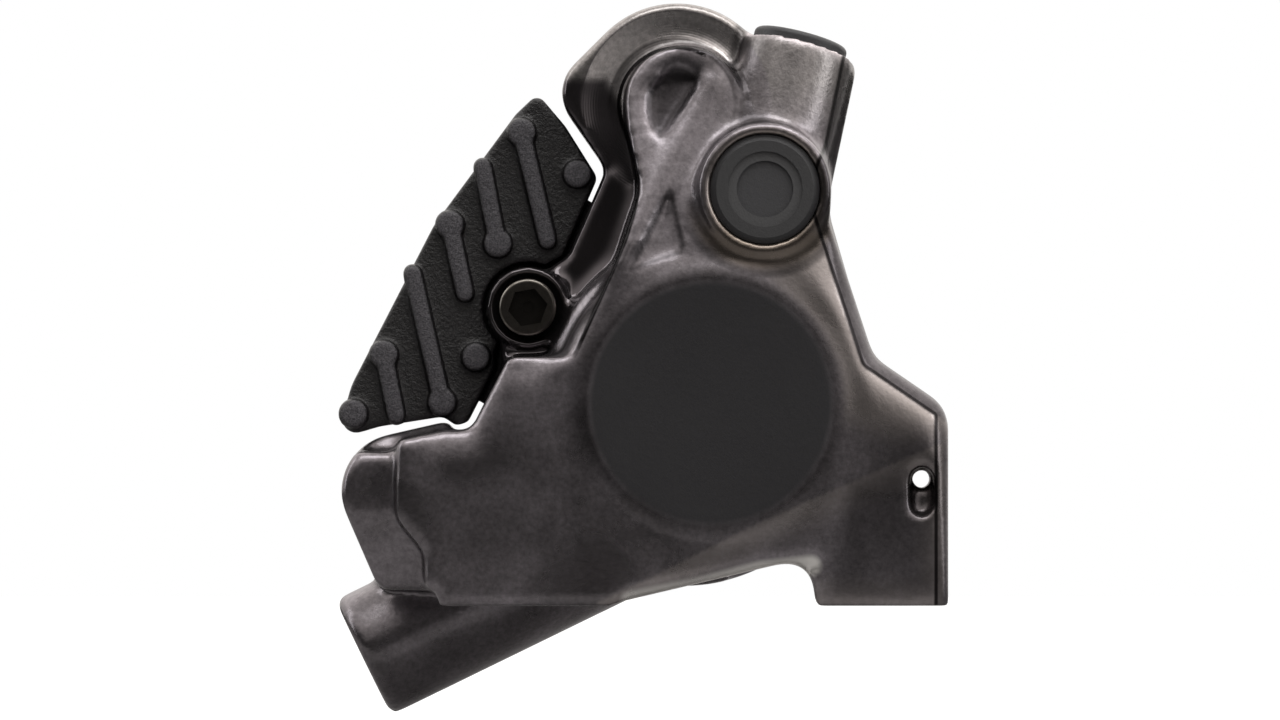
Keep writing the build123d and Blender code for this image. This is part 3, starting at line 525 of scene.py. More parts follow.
teardrop_edge = (-0.25 * mm, 0.35 * mm)
rear_band = 1.05 * mm
lip_ring = (6.3 * mm, 7.6 * mm)
lip_drop = (1 * mm, 4 * mm)
lip_end = 7.35 * mm
lip_groove = (0.1 * mm, 0.7 * mm)
worn_ring = (5.5 * mm, 4.95 * mm)
cloud_tones = ((0.3, "#696567"), (0.7, "#888387"))
# Tints: the boss, rim, neck and lower face, arch and lip tints are painted highlights, the land and
# crease tints painted shade.
boss_highlight_tint, seat_tint, rim_highlight_tint, worn_tint = "#bfb8ba", "#c0bbba", "#94908e", "#958b82"
highlight_tint, arch_highlight_tint, lip_highlight_tint = "#c8bfba", "#efece8", "#6d6358"
land_shade_tint, crease_shade_tint, disc_tint = "#5a5658", "#171516", "#1b1a1d"
material, tree, output = new_material("dark_anodised_forging")
place = add_node(tree, "ShaderNodeTexCoord").outputs["Object"]
axes = add_node(tree, "ShaderNodeSeparateXYZ", [(0, place)])
side_view = add_node(tree, "ShaderNodeVectorMath", [
    (0, place), (1, (1, 0, 1)),
], operation="MULTIPLY").outputs[0]
clouds = add_node(tree, "ShaderNodeTexNoise", [
    ("Vector", place), ("Scale", 1 / cloud_size), ("Detail", 5.0), ("Distortion", 0.6),
]).outputs[0]
waves = add_node(tree, "ShaderNodeTexNoise", [
    ("Vector", place), ("Scale", 1 / wave_size), ("Detail", 0.0),
]).outputs[0]
grit = add_node(tree, "ShaderNodeTexNoise", [
    ("Vector", place), ("Scale", 1 / grit_size), ("Detail", 3.0), ("Roughness", 0.65),
]).outputs[0]
marks = {
    name: add_node(tree, "ShaderNodeAttribute", attribute_name=name).outputs["Fac"]
    for name in outboard_marks
}
from_piston, from_lobe, from_valve = [
    add_node(tree, "ShaderNodeVectorMath", [
        (0, side_view), (1, (middle_at.x, 0, middle_at.z)),
    ], operation="DISTANCE").outputs["Value"]
    for middle_at in (piston_at, lobe_at, valve_at)
]
outboard = add_node(tree, "ShaderNodeMath", [
    (0, axes.outputs["Y"]), (1, rotor_plane_y - half_split),
], operation="LESS_THAN").outputs[0]

printed = add_node(tree, "ShaderNodeMapRange", [
    ("Value", from_piston), ("From Min", disc_edge[0]), ("From Max", disc_edge[1]),
    ("To Min", 1.0), ("To Max", 0.0),
], interpolation_type="SMOOTHSTEP").outputs[0]
front = add_node(tree, "ShaderNodeMath", [
    (0, axes.outputs["Y"]), (1, face_y + disc_skin),
], operation="LESS_THAN").outputs[0]
disc = add_node(tree, "ShaderNodeMath", [(0, printed), (1, front)], operation="MULTIPLY").outputs[0]

on_lobe = add_node(tree, "ShaderNodeMapRange", [
    ("Value", from_lobe), ("From Min", spot_ring[0]), ("From Max", spot_ring[1]),
    ("To Min", 1.0), ("To Max", 0.0),
]).outputs[0]
low = add_node(tree, "ShaderNodeMapRange", [
    ("Value", axes.outputs["Y"]), ("From Min", rotor_plane_y - spot_depths[0]),
    ("From Max", rotor_plane_y - spot_depths[1]),
]).outputs[0]
seat = add_node(tree, "ShaderNodeMath", [(0, on_lobe), (1, low)], operation="MULTIPLY")
seat = add_node(tree, "ShaderNodeMath", [
    (0, seat.outputs[0]), (1, outboard),
], operation="MULTIPLY").outputs[0]
# Painted highlight on the upper half of the lobe's rim.
rim_highlight_and_wear = add_node(tree, "ShaderNodeMapRange", [
    ("Value", from_lobe), ("From Min", spot_ring[0]), ("From Max", rim_ring),
]).outputs[0]
above = add_node(tree, "ShaderNodeMapRange", [
    ("Value", axes.outputs["Z"]), ("From Min", lobe_at.z - rim_fade),
    ("From Max", lobe_at.z + rim_fade),
]).outputs[0]
rim_highlight_and_wear = add_node(tree, "ShaderNodeMath", [(0, rim_highlight_and_wear), (1, above)], operation="MULTIPLY")
not_boss = add_node(tree, "ShaderNodeMath", [
    (0, 1.0), (1, marks["boss_grit_and_highlight"]),
], operation="SUBTRACT")
rim_highlight_and_wear = add_node(tree, "ShaderNodeMath", [
    (0, rim_highlight_and_wear.outputs[0]), (1, not_boss.outputs[0]),
], operation="MULTIPLY").outputs[0]

# Painted shade: a thin dark line along the arm's outline.
arm_shade_line = add_node(tree, "ShaderNodeMath", [(0, marks["arm_edge"])], operation="ABSOLUTE")
arm_shade_line = add_node(tree, "ShaderNodeMapRange", [
    ("Value", arm_shade_line.outputs[0]), ("From Min", crease_half), ("From Max", crease_half * 2),
    ("To Min", 1.0), ("To Max", 0.0),
])
on_arm = add_node(tree, "ShaderNodeMapRange", [
    ("Value", axes.outputs["Z"]), ("From Min", heights(arm_foot_rows)[0]),
    ("From Max", heights(arm_foot_rows)[1]),
])
arm_shade_line = add_node(tree, "ShaderNodeMath", [
    (0, arm_shade_line.outputs[0]), (1, on_arm.outputs[0]),
], operation="MULTIPLY").outputs[0]
# Painted shade along the outline of the triangular pocket.
triangle_shade_line = add_node(tree, "ShaderNodeMath", [(0, marks["triangle"])], operation="ABSOLUTE")
triangle_shade_line = add_node(tree, "ShaderNodeMapRange", [
    ("Value", triangle_shade_line.outputs[0]), ("From Min", crease_half * 0.5),
    ("From Max", crease_half * 3), ("To Min", 0.6), ("To Max", 0.0),
]).outputs[0]
# Painted shade: a dark line about 1 mm in from the rear outline, and lighter shade between it and
# the outline.
rear_line = add_node(tree, "ShaderNodeMath", [
    (0, marks["rear_edge"]), (1, rear_band),
], operation="SUBTRACT")
rear_line = add_node(tree, "ShaderNodeMath", [(0, rear_line.outputs[0])], operation="ABSOLUTE")
rear_line = add_node(tree, "ShaderNodeMapRange", [
    ("Value", rear_line.outputs[0]), ("From Min", crease_half * 0.5),
    ("From Max", crease_half * 2.5), ("To Min", 0.97), ("To Max", 0.0),
], interpolation_type="SMOOTHSTEP").outputs[0]
rear_shade = add_node(tree, "ShaderNodeMapRange", [
    ("Value", marks["rear_edge"]), ("From Min", rear_band * 0.9), ("From Max", rear_band),
    ("To Min", 0.6), ("To Max", 0.0),
]).outputs[0]
rear_shade = add_node(tree, "ShaderNodeMath", [
    (0, rear_shade), (1, rear_line),
], operation="MAXIMUM").outputs[0]
# Painted shade inside the teardrop pocket.
teardrop_shade = add_node(tree, "ShaderNodeMapRange", [
    ("Value", marks["teardrop"]), ("From Min", teardrop_edge[0]), ("From Max", teardrop_edge[1]),
    ("To Min", 0.0), ("To Max", 0.8),
], interpolation_type="SMOOTHSTEP").outputs[0]
# Painted highlight: the lower side of the ring round the valve boss foot, paler and brown.
lip_highlight = add_node(tree, "ShaderNodeMapRange", [
    ("Value", from_valve), ("From Min", lip_ring[0]), ("From Max", lip_ring[1]),
    ("To Min", 0.75), ("To Max", 0.0),
], interpolation_type="SMOOTHSTEP")
lip_low = add_node(tree, "ShaderNodeMapRange", [
    ("Value", axes.outputs["Z"]), ("From Min", valve_at.z - lip_drop[0]),
    ("From Max", valve_at.z - lip_drop[1]),
])
lip_highlight = add_node(tree, "ShaderNodeMath", [
    (0, lip_highlight.outputs[0]), (1, lip_low.outputs[0]),
], operation="MULTIPLY")
lip_highlight = add_node(tree, "ShaderNodeMath", [
    (0, lip_highlight.outputs[0]), (1, outboard),
], operation="MULTIPLY").outputs[0]
dome_shade = add_node(tree, "ShaderNodeMapRange", [
    ("Value", from_piston), ("From Min", disc_edge[1]), ("From Max", dome_fade),
    ("To Min", 0.5), ("To Max", 0.0),
], interpolation_type="SMOOTHSTEP").outputs[0]
foot_shade = add_node(tree, "ShaderNodeMath", [
    (0, marks["foot_shade_share"]), (1, 0.45),
], operation="MULTIPLY").outputs[0]
root_shade = add_node(tree, "ShaderNodeMath", [
    (0, from_lobe), (1, root_ring[0]),
], operation="SUBTRACT")
root_shade = add_node(tree, "ShaderNodeMath", [(0, root_shade.outputs[0])], operation="ABSOLUTE")
root_shade = add_node(tree, "ShaderNodeMapRange", [
    ("Value", root_shade.outputs[0]), ("From Min", root_ring[1] / 2), ("From Max", root_ring[1]),
    ("To Min", 0.75), ("To Max", 0.0),
], interpolation_type="SMOOTHSTEP")
root_shade = add_node(tree, "ShaderNodeMath", [
    (0, root_shade.outputs[0]), (1, above),
], operation="MULTIPLY").outputs[0]
lip_shade = add_node(tree, "ShaderNodeMath", [
    (0, from_valve), (1, lip_end),
], operation="SUBTRACT")
lip_shade = add_node(tree, "ShaderNodeMath", [(0, lip_shade.outputs[0])], operation="ABSOLUTE")
lip_shade = add_node(tree, "ShaderNodeMapRange", [
    ("Value", lip_shade.outputs[0]), ("From Min", lip_groove[0]), ("From Max", lip_groove[1]),
    ("To Min", 0.55), ("To Max", 0.0),
], interpolation_type="SMOOTHSTEP")
lip_shade = add_node(tree, "ShaderNodeMath", [
    (0, lip_shade.outputs[0]), (1, lip_low.outputs[0]),
], operation="MULTIPLY").outputs[0]
beside_shade = add_node(tree, "ShaderNodeMath", [
    (0, marks["boss_side_shade"]), (1, 0.7),
], operation="MULTIPLY").outputs[0]
# All the painted shade together: lines, pockets, dome ring, foot, lobe root, lip groove, boss side
# and rear band, on the outboard half only.
crease_shade = arm_shade_line
for shade in (triangle_shade_line, teardrop_shade, dome_shade, foot_shade, root_shade, lip_shade,
              beside_shade, rear_shade):
    crease_shade = add_node(tree, "ShaderNodeMath", [
        (0, crease_shade), (1, shade),
    ], operation="MAXIMUM").outputs[0]
crease_shade = add_node(tree, "ShaderNodeMath", [
    (0, crease_shade), (1, outboard),
], operation="MULTIPLY").outputs[0]

metal_shade = add_node(tree, "ShaderNodeValToRGB", [(0, clouds)])
for element, (position, colour) in zip(metal_shade.color_ramp.elements, cloud_tones):
    element.position = position
    element.color = linear(colour)
speckle = add_node(tree, "ShaderNodeMapRange", [
    ("Value", grit), ("From Min", 0.3), ("From Max", 0.7), ("To Min", 0.7), ("To Max", 1.28),
]).outputs[0]
worn = add_node(tree, "ShaderNodeMapRange", [
    ("Value", from_valve), ("From Min", worn_ring[0]), ("From Max", worn_ring[1]),
])
worn = add_node(tree, "ShaderNodeMath", [
    (0, worn.outputs[0]), (1, clouds),
], operation="MULTIPLY")
worn = add_node(tree, "ShaderNodeMath", [
    (0, worn.outputs[0]), (1, outboard),
], operation="MULTIPLY").outputs[0]
colour = metal_shade.outputs[0]
for share, tint in ((marks["boss_grit_and_highlight"], boss_highlight_tint), (seat, seat_tint), (rim_highlight_and_wear, rim_highlight_tint),
                    (worn, worn_tint)):
    colour = add_node(tree, "ShaderNodeMixRGB", [
        (0, share), (1, colour), (2, linear(tint)),
    ]).outputs[0]
colour = add_node(tree, "ShaderNodeMixRGB", [
    (0, 0.75), (1, colour), (2, speckle),
], blend_type="MULTIPLY").outputs[0]
# Painted highlight on the neck's roll and on the foot's lower face.
neck_and_lower_face_highlight = add_node(tree, "ShaderNodeMath", [(0, marks["neck"]), (1, 1.7)], operation="MULTIPLY")
neck_and_lower_face_highlight = add_node(tree, "ShaderNodeMath", [
    (0, neck_and_lower_face_highlight.outputs[0]), (1, marks["lower_face_highlight"]),
], operation="ADD")
neck_and_lower_face_highlight = add_node(tree, "ShaderNodeMath", [
    (0, neck_and_lower_face_highlight.outputs[0]), (1, 0.3),
], operation="MULTIPLY").outputs[0]
# Painted highlight: a pale band along the arch's edge.
arch_highlight = add_node(tree, "ShaderNodeMapRange", [
    ("Value", marks["arch_edge"]), ("From Min", arch_band[0]), ("From Max", arch_band[1]),
    ("To Min", 0.95), ("To Max", 0.0),
], interpolation_type="SMOOTHSTEP").outputs[0]
arch_highlight = add_node(tree, "ShaderNodeMath", [
    (0, arch_highlight), (1, outboard),
], operation="MULTIPLY").outputs[0]
for share, tint in ((neck_and_lower_face_highlight, highlight_tint), (arch_highlight, arch_highlight_tint), (lip_highlight, lip_highlight_tint),
                    (marks["land_gloss_and_shade"], land_shade_tint), (crease_shade, crease_shade_tint), (disc, disc_tint)):
    colour = add_node(tree, "ShaderNodeMixRGB", [
        (0, share), (1, colour), (2, linear(tint)),
    ]).outputs[0]
gloss = add_node(tree, "ShaderNodeMapRange", [
    ("Value", clouds), ("From Min", 0.3), ("From Max", 0.7), ("To Min", 0.24), ("To Max", 0.34),
]).outputs[0]
for share, change in ((marks["boss_grit_and_highlight"], 0.2), (marks["land_gloss_and_shade"], -0.12), (disc, 0.3)):
    gloss = add_node(tree, "ShaderNodeMath", [
        (0, share), (1, change), (2, gloss),
    ], operation="MULTIPLY_ADD").outputs[0]
metallic = add_node(tree, "ShaderNodeMath", [
    (0, disc), (1, -0.92), (2, 0.94),
], operation="MULTIPLY_ADD").outputs[0]
turning = add_node(tree, "ShaderNodeMath", [
    (0, from_lobe), (1, 2 * math.pi / turning_pitch),
], operation="MULTIPLY")
turning = add_node(tree, "ShaderNodeMath", [(0, turning.outputs[0])], operation="SINE")
turning = add_node(tree, "ShaderNodeMath", [
    (0, turning.outputs[0]), (1, seat),
], operation="MULTIPLY").outputs[0]
rough_skin = add_node(tree, "ShaderNodeMapRange", [
    ("Value", marks["boss_grit_and_highlight"]), ("From Min", 0.0), ("From Max", 1.0),
    ("To Min", 0.25), ("To Max", 1.0),
])
smooth_land = add_node(tree, "ShaderNodeMath", [(0, 1.0), (1, marks["land_gloss_and_shade"])], operation="SUBTRACT")
rough_skin = add_node(tree, "ShaderNodeMath", [
    (0, rough_skin.outputs[0]), (1, smooth_land.outputs[0]),
], operation="MULTIPLY")
grit_depth = add_node(tree, "ShaderNodeMath", [
    (0, grit), (1, rough_skin.outputs[0]),
], operation="MULTIPLY").outputs[0]
cast_waves = add_node(tree, "ShaderNodeBump", [
    ("Height", waves), ("Strength", 1.0), ("Distance", wave_height),
]).outputs[0]
blasted_skin = add_node(tree, "ShaderNodeBump", [
    ("Height", grit_depth), ("Strength", 1.0), ("Distance", grit_height), ("Normal", cast_waves),
]).outputs[0]
skin = add_node(tree, "ShaderNodeBump", [
    ("Height", turning), ("Strength", 0.2), ("Distance", turning_height), ("Normal", blasted_skin),
]).outputs[0]
spoke = add_node(tree, "ShaderNodeVectorMath", [
    (0, side_view), (1, (lobe_at.x, 0, lobe_at.z)),
], operation="SUBTRACT")
groove_way = add_node(tree, "ShaderNodeVectorMath", [
    (0, (0, 1, 0)), (1, spoke.outputs[0]),
], operation="CROSS_PRODUCT")
groove_way = add_node(tree, "ShaderNodeVectorMath", [
    (0, groove_way.outputs[0]),
], operation="NORMALIZE").outputs[0]
drawn = add_node(tree, "ShaderNodeMath", [(0, seat), (1, 0.85)], operation="MULTIPLY").outputs[0]
surface = add_node(tree, "ShaderNodeBsdfPrincipled", [
    ("Base Color", colour), ("Metallic", metallic), ("Roughness", gloss), ("Normal", skin),
    ("Anisotropic", drawn), ("Tangent", groove_way),
])
tree.links.new(surface.outputs[0], output.inputs[0])
outboard_half.data.materials.append(material)

# Inboard body half. The same forging and finish, with the hose port and the bolt seats. It
# carries none of the outboard half's marks.
inboard_half, points = blended_copy(
    "inboard_body", "inboard_half", "caliper", body_grid, blend_rounds, free_skin,
    settle=true_bore,
)
no_marks = {**dict.fromkeys(outboard_marks, 0.0), "arm_edge": 1.0, "rear_edge": 1.0,
            "arch_edge": 1.0, "teardrop": -1.0, "triangle": -1.0}
for name, value in no_marks.items():
    keep(inboard_half, name, np.full(len(points), value))
inboard_half.data.materials.append(material)

# Body bolts. Alloy steel socket screws with a black oxide finish: near black, with a dry
# satin sheen and paler scuffs.


def dress(node_names, material):
    """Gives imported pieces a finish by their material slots."""
    for name in node_names:
        nodes[name].data.materials.clear()
        nodes[name].data.materials.append(material)


def mottled_finish(name, size, noise, tones, bump, surface, stretch=None):
    """Material whose tone and height follow one noise of a real size.

    noise holds the noise's other settings, tones a noise value and colour for each end, bump
    its strength and height, and surface the finish. stretch draws the noise out along an axis.
    """
    material, tree, output = new_material(name)
    place = add_node(tree, "ShaderNodeTexCoord").outputs["Object"]
    if stretch:
        place = add_node(tree, "ShaderNodeVectorMath", [
            (0, place), (1, stretch),
        ], operation="MULTIPLY").outputs[0]
    mottle = add_node(tree, "ShaderNodeTexNoise", [
        ("Vector", place), ("Scale", 1 / size), *noise,
    ]).outputs[0]
    tone = add_node(tree, "ShaderNodeValToRGB", [(0, mottle)])
    for element, (position, colour) in zip(tone.color_ramp.elements, tones):
        element.position = position
        element.color = linear(colour)
    skin = add_node(tree, "ShaderNodeBump", [
        ("Height", mottle), ("Strength", bump[0]), ("Distance", bump[1]),
    ]).outputs[0]
    finish = add_node(tree, "ShaderNodeBsdfPrincipled", [
        ("Base Color", tone.outputs[0]), ("Normal", skin), *surface,
    ])
    tree.links.new(finish.outputs[0], output.inputs[0])
    return material


scuff_size = 0.6 * mm
scuff_height = 0.02 * mm
dress(["body_bolts"], mottled_finish(
    "black_oxide_steel", scuff_size, [("Detail", 5.0), ("Roughness", 0.7)],
    ((0.45, "#262525"), (0.75, "#454341")), (0.3, scuff_height),
    [("Metallic", 0.9), ("Roughness", 0.36)],
))

# Seals. Square and round rings of moulded rubber in the bores and joints: black and dull,
# with a faint bloom.
bloom_size = 0.9 * mm
bloom_height = 0.02 * mm
dress(["transfer_seal", "outboard_piston_seal", "inboard_piston_seal", "valve_screw_o_ring",
       "bleed_nipple_seal"], mottled_finish(
    "black_seal_rubber", bloom_size, [("Detail", 4.0)],
    ((0.0, "#171717"), (1.0, "#262626")), (0.2, bloom_height), [("Roughness", 0.55)],
))

# Pistons. Moulded phenolic resin cups that keep heat from the fluid: brown, mottled by the
# filler, with a ground satin skin.
filler_size = 0.7 * mm
filler_height = 0.02 * mm
dress(["outboard_piston", "inboard_piston"], mottled_finish(
    "mottled_phenolic_resin", filler_size, [("Detail", 5.0), ("Roughness", 0.7)],
    ((0.35, "#5d4028"), (0.65, "#856142")), (0.15, filler_height), [("Roughness", 0.42)],
))

# Pad backing plates. Pressed steel, hung on the axle by an ear, which carries the linings. The
# thin dark coat turns grey where it slides.
coat_size = 1.5 * mm
coat_height = 0.04 * mm
dress(["outboard_pad_plate", "inboard_pad_plate"], mottled_finish(
    "dark_coated_steel", coat_size, [("Detail", 5.0), ("Roughness", 0.6)],
    ((0.4, "#313131"), (0.7, "#585756")), (0.2, coat_height),
    [("Metallic", 0.5), ("Roughness", 0.45)],
))

# Pad linings. Moulded friction compound, bonded to the plates: a dull brown-grey mass with
# bright metal chips.
chip_size = 0.5 * mm
chip_height = 0.1 * mm
material, tree, output = new_material("friction_compound")
place = add_node(tree, "ShaderNodeTexCoord").outputs["Object"]
chips = add_node(tree, "ShaderNodeTexVoronoi", [
    ("Vector", place), ("Scale", 1 / chip_size),
])
mass = add_node(tree, "ShaderNodeTexNoise", [
    ("Vector", place), ("Scale", 1 / chip_size), ("Detail", 4.0),
]).outputs[0]
bright = add_node(tree, "ShaderNodeMapRange", [
    ("Value", chips.outputs["Distance"]), ("From Min", 0.12), ("From Max", 0.2),
    ("To Min", 1.0), ("To Max", 0.0),
]).outputs[0]
tone = add_node(tree, "ShaderNodeMixRGB", [
    (0, mass), (1, linear("#3b332d")), (2, linear("#5a5047")),
])
colour = add_node(tree, "ShaderNodeMixRGB", [
    (0, bright), (1, tone.outputs[0]), (2, linear("#a3896a")),
]).outputs[0]
skin = add_node(tree, "ShaderNodeBump", [
    ("Height", mass), ("Strength", 0.5), ("Distance", chip_height),
]).outputs[0]
surface = add_node(tree, "ShaderNodeBsdfPrincipled", [
    ("Base Color", colour), ("Metallic", bright), ("Roughness", 0.8), ("Normal", skin),
])
tree.links.new(surface.outputs[0], output.inputs[0])
dress(["outboard_pad_lining", "inboard_pad_lining"], material)

# Pad rivets. Small plated steel pins that hold each fin to its plate, pressed over at their
# ends: pale, faintly yellow and satin.
stain_size = 0.4 * mm
stain_height = 0.02 * mm
dress(["outboard_pad_rivets", "inboard_pad_rivets"], mottled_finish(
    "zinc_plated_steel", stain_size, [("Detail", 4.0)],
    ((0.0, "#8d8b86"), (1.0, "#aeaaa0")), (0.2, stain_height),
    [("Metallic", 0.92), ("Roughness", 0.34)],
))

# Cooling fins. Pressed aluminium sheet with raised ribs, in thick black crinkle paint that
# has worn to a flat grey on the rib tops.
fin_grid = 0.17 * mm
crinkle_size = 0.3 * mm
crinkle_height = 0.12 * mm
fine_height = 0.03 * mm
rib_top = (8.0 * mm, 8.22 * mm)
rib_foot = (7.35 * mm, 7.6 * mm)
rib_widening = 0.2 * mm
speck_size = 0.14 * mm
material, tree, output = new_material("black_crinkle_paint")
place = add_node(tree, "ShaderNodeTexCoord").outputs["Object"]
axes = add_node(tree, "ShaderNodeSeparateXYZ", [(0, place)])
from_rotor = add_node(tree, "ShaderNodeMath", [
    (0, axes.outputs["Y"]), (1, rotor_plane_y),
], operation="SUBTRACT")
from_rotor = add_node(tree, "ShaderNodeMath", [
    (0, from_rotor.outputs[0]),
], operation="ABSOLUTE")
worn = add_node(tree, "ShaderNodeMapRange", [
    ("Value", from_rotor.outputs[0]), ("From Min", rib_top[0]), ("From Max", rib_top[1]),
], interpolation_type="SMOOTHSTEP").outputs[0]
crinkle = add_node(tree, "ShaderNodeTexNoise", [
    ("Vector", place), ("Scale", 1 / crinkle_size), ("Detail", 4.0), ("Roughness", 0.6),
]).outputs[0]
fine = add_node(tree, "ShaderNodeTexNoise", [
    ("Vector", place), ("Scale", 4 / crinkle_size), ("Detail", 2.0),
]).outputs[0]
specks = add_node(tree, "ShaderNodeTexNoise", [
    ("Vector", place), ("Scale", 1 / speck_size), ("Detail", 2.0),
]).outputs[0]
sharp = add_node(tree, "ShaderNodeMapRange", [
    ("Value", specks), ("From Min", 0.36), ("From Max", 0.64),
]).outputs[0]
grey = add_node(tree, "ShaderNodeMixRGB", [
    (0, sharp), (1, linear("#2b292e")), (2, linear("#514f53")),
])
base = add_node(tree, "ShaderNodeMixRGB", [
    (0, sharp), (1, linear("#080708")), (2, linear("#151315")),
])
colour = add_node(tree, "ShaderNodeMixRGB", [
    (0, worn), (1, base.outputs[0]), (2, grey.outputs[0]),
]).outputs[0]
gloss = add_node(tree, "ShaderNodeMapRange", [
    ("Value", worn), ("From Min", 0.0), ("From Max", 1.0), ("To Min", 0.34), ("To Max", 0.62),
]).outputs[0]
ripples = add_node(tree, "ShaderNodeBump", [
    ("Height", crinkle), ("Strength", 0.9), ("Distance", crinkle_height),
]).outputs[0]
skin = add_node(tree, "ShaderNodeBump", [
    ("Height", fine), ("Strength", 0.5), ("Distance", fine_height), ("Normal", ripples),
]).outputs[0]
surface = add_node(tree, "ShaderNodeBsdfPrincipled", [
    ("Base Color", colour), ("Roughness", gloss), ("Normal", skin), ("Specular IOR Level", 0.6),
])
tree.links.new(surface.outputs[0], output.inputs[0])


def widened_ribs(points, normals):
    """Rib walls moved out sideways by one width, which grows from the rib's foot to its top."""
    raised = smooth_share(np.abs(points[:, 1] - rotor_plane_y), *rib_foot)
    points[:, [0, 2]] += normals[:, [0, 2]] * raised[:, None] * rib_widening


for side in ("outboard", "inboard"):
    fin = blended_copy(
        f"{side}_pad_fin", f"{side}_fin", f"{side}_pad", fin_grid, blend_rounds,
        lambda points: np.ones(len(points)), settle=widened_ribs,
    )[0]
    fin.data.materials.append(material)

# Pad spring. Thin rolled stainless strip, bent into two legs that push the pads apart: bright,
# with fine rolling lines along it. This copy stands in for the node, with a mesh of its own.
rolling_size = 0.15 * mm
rolling_height = 0.01 * mm
spring = merged_copy("pad_spring", "sheet_spring")
spring.data.materials.clear()
spring.data.materials.append(mottled_finish(
    "rolled_spring_steel", rolling_size, [("Detail", 3.0)],
    ((0.0, "#8f8f8b"), (1.0, "#b3b2ad")), (0.15, rolling_height),
    [("Metallic", 0.96), ("Roughness", 0.26)], stretch=(0.1, 1, 0.1),
))
spring.data.polygons.foreach_set("use_smooth", np.zeros(len(spring.data.polygons), dtype=bool))
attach(spring, "caliper")
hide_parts("pad_spring")
# Each outer face stands 3.03 mm from the rotor's plane at rest, and the pad plate comes to
# 2.15 mm from it at the end of the stroke. At 0.67 of their spread the legs stay 0.12 mm
# clear of it.
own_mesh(spring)

# Pad axle and clip. Hardened steel, screwed in through the body and both pads and kept by a
# spring ring, burnished brown-black and paler where keys have rubbed the rim of its head. Its
# hex socket is painted darker with depth, as shade.
scratch_size = 0.5 * mm
scratch_height = 0.03 * mm
socket_depths = (0.1 * mm, 0.5 * mm)
head_ring = (2.25 * mm, 2.42 * mm)
head_y = rotor_plane_y - 11.3 * mm
material, tree, output = new_material("burnished_steel")
place = add_node(tree, "ShaderNodeTexCoord").outputs["Object"]
side_view = add_node(tree, "ShaderNodeVectorMath", [
    (0, place), (1, (1, 0, 1)),
], operation="MULTIPLY").outputs[0]
from_axle = add_node(tree, "ShaderNodeVectorMath", [
    (0, side_view), (1, (axle_at.x, 0, axle_at.z)),
], operation="DISTANCE").outputs["Value"]
scratches = add_node(tree, "ShaderNodeTexNoise", [
    ("Vector", place), ("Scale", 1 / scratch_size), ("Detail", 5.0), ("Roughness", 0.7),
]).outputs[0]
rim_highlight_and_wear = add_node(tree, "ShaderNodeMapRange", [
    ("Value", from_axle), ("From Min", head_ring[0]), ("From Max", head_ring[1]),
    ("To Min", 0.15), ("To Max", 1.0),
], interpolation_type="SMOOTHSTEP").outputs[0]
rubbed = add_node(tree, "ShaderNodeMath", [
    (0, rim_highlight_and_wear), (1, scratches),
], operation="MULTIPLY").outputs[0]
colour = add_node(tree, "ShaderNodeMixRGB", [
    (0, rubbed), (1, linear("#35322f")), (2, linear("#b9b3aa")),
]).outputs[0]
# Painted shade in the hex socket, darker with depth.
socket_shade = add_node(tree, "ShaderNodeMapRange", [
    ("Value", add_node(tree, "ShaderNodeSeparateXYZ", [(0, place)]).outputs["Y"]),
    ("From Min", head_y + socket_depths[0]), ("From Max", head_y + socket_depths[1]),
    ("To Min", 0.0), ("To Max", 0.75),
])
colour = add_node(tree, "ShaderNodeMixRGB", [
    (0, socket_shade.outputs[0]), (1, colour), (2, linear("#2c2a28")),
]).outputs[0]
skin = add_node(tree, "ShaderNodeBump", [
    ("Height", scratches), ("Strength", 0.4), ("Distance", scratch_height),
]).outputs[0]
surface = add_node(tree, "ShaderNodeBsdfPrincipled", [
    ("Base Color", colour), ("Metallic", 0.95), ("Roughness", 0.3), ("Normal", skin),
])
tree.links.new(surface.outputs[0], output.inputs[0])
dress(["pad_axle", "pad_axle_clip"], material)

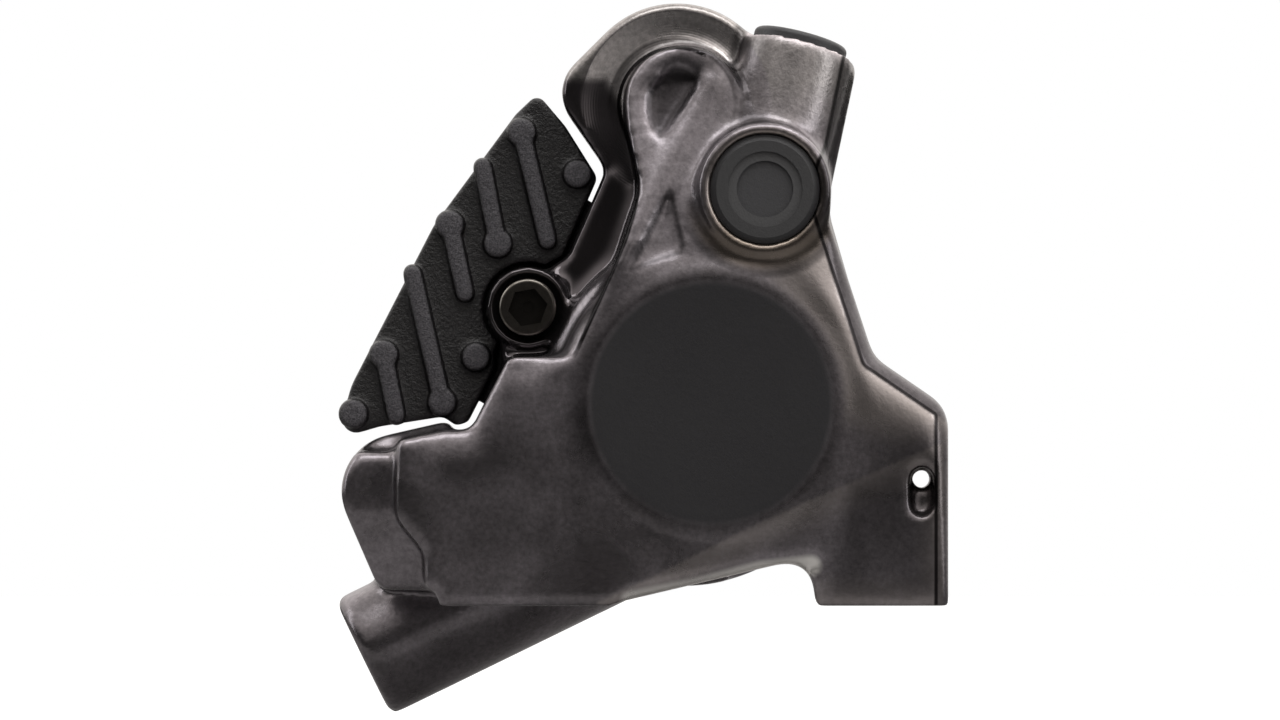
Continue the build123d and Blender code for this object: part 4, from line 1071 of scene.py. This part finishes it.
# Valve screw and bleed nipple. Turned plated steel, screwed in under the rubber caps: bright,
# with fine turning lines. These usually stand about 0.1 mm apart and are drawn coarser here.
lathe_size = 0.2 * mm
lathe_height = 0.01 * mm
dress(["valve_screw", "bleed_nipple"], mottled_finish(
    "bright_turned_steel", lathe_size, [("Detail", 3.0)],
    ((0.0, "#a09d98"), (1.0, "#c2bfb9")), (0.15, lathe_height),
    [("Metallic", 0.95), ("Roughness", 0.25)],
))

# Rubber caps. Moulded black rubber, pushed on, with a dull, faintly glinting skin. The valve
# cap steps down to its middle, and its steps show as rings of slightly different tone.
cap_rings = (2.44 * mm, 3.26 * mm, 4.2 * mm)
ramp_reach = 5 * mm
moulding_size = 0.28 * mm
moulding_height = 0.05 * mm
material, tree, output = new_material("moulded_black_rubber")
place = add_node(tree, "ShaderNodeTexCoord").outputs["Object"]
side_view = add_node(tree, "ShaderNodeVectorMath", [
    (0, place), (1, (1, 0, 1)),
], operation="MULTIPLY").outputs[0]
from_valve = add_node(tree, "ShaderNodeVectorMath", [
    (0, side_view), (1, (valve_at.x, 0, valve_at.z)),
], operation="DISTANCE").outputs["Value"]
share = add_node(tree, "ShaderNodeMath", [
    (0, from_valve), (1, ramp_reach),
], operation="DIVIDE").outputs[0]
rings = add_node(tree, "ShaderNodeValToRGB", [(0, share)])
rings.color_ramp.interpolation = "CONSTANT"
rings.color_ramp.elements[0].color = linear("#3f3f41")
rings.color_ramp.elements[1].position = cap_rings[0] / ramp_reach
rings.color_ramp.elements[1].color = linear("#4a4a4b")
step = rings.color_ramp.elements.new(cap_rings[1] / ramp_reach)
step.color = linear("#3a3a3b")
step = rings.color_ramp.elements.new(cap_rings[2] / ramp_reach)
step.color = linear("#2b2b2d")
grain = add_node(tree, "ShaderNodeTexNoise", [
    ("Vector", place), ("Scale", 1 / moulding_size), ("Detail", 4.0), ("Roughness", 0.7),
]).outputs[0]
skin = add_node(tree, "ShaderNodeBump", [
    ("Height", grain), ("Strength", 0.6), ("Distance", moulding_height),
]).outputs[0]
surface = add_node(tree, "ShaderNodeBsdfPrincipled", [
    ("Base Color", rings.outputs[0]), ("Roughness", 0.48), ("Normal", skin),
])
tree.links.new(surface.outputs[0], output.inputs[0])
dress(["valve_screw_cap", "bleed_nipple_cap"], material)
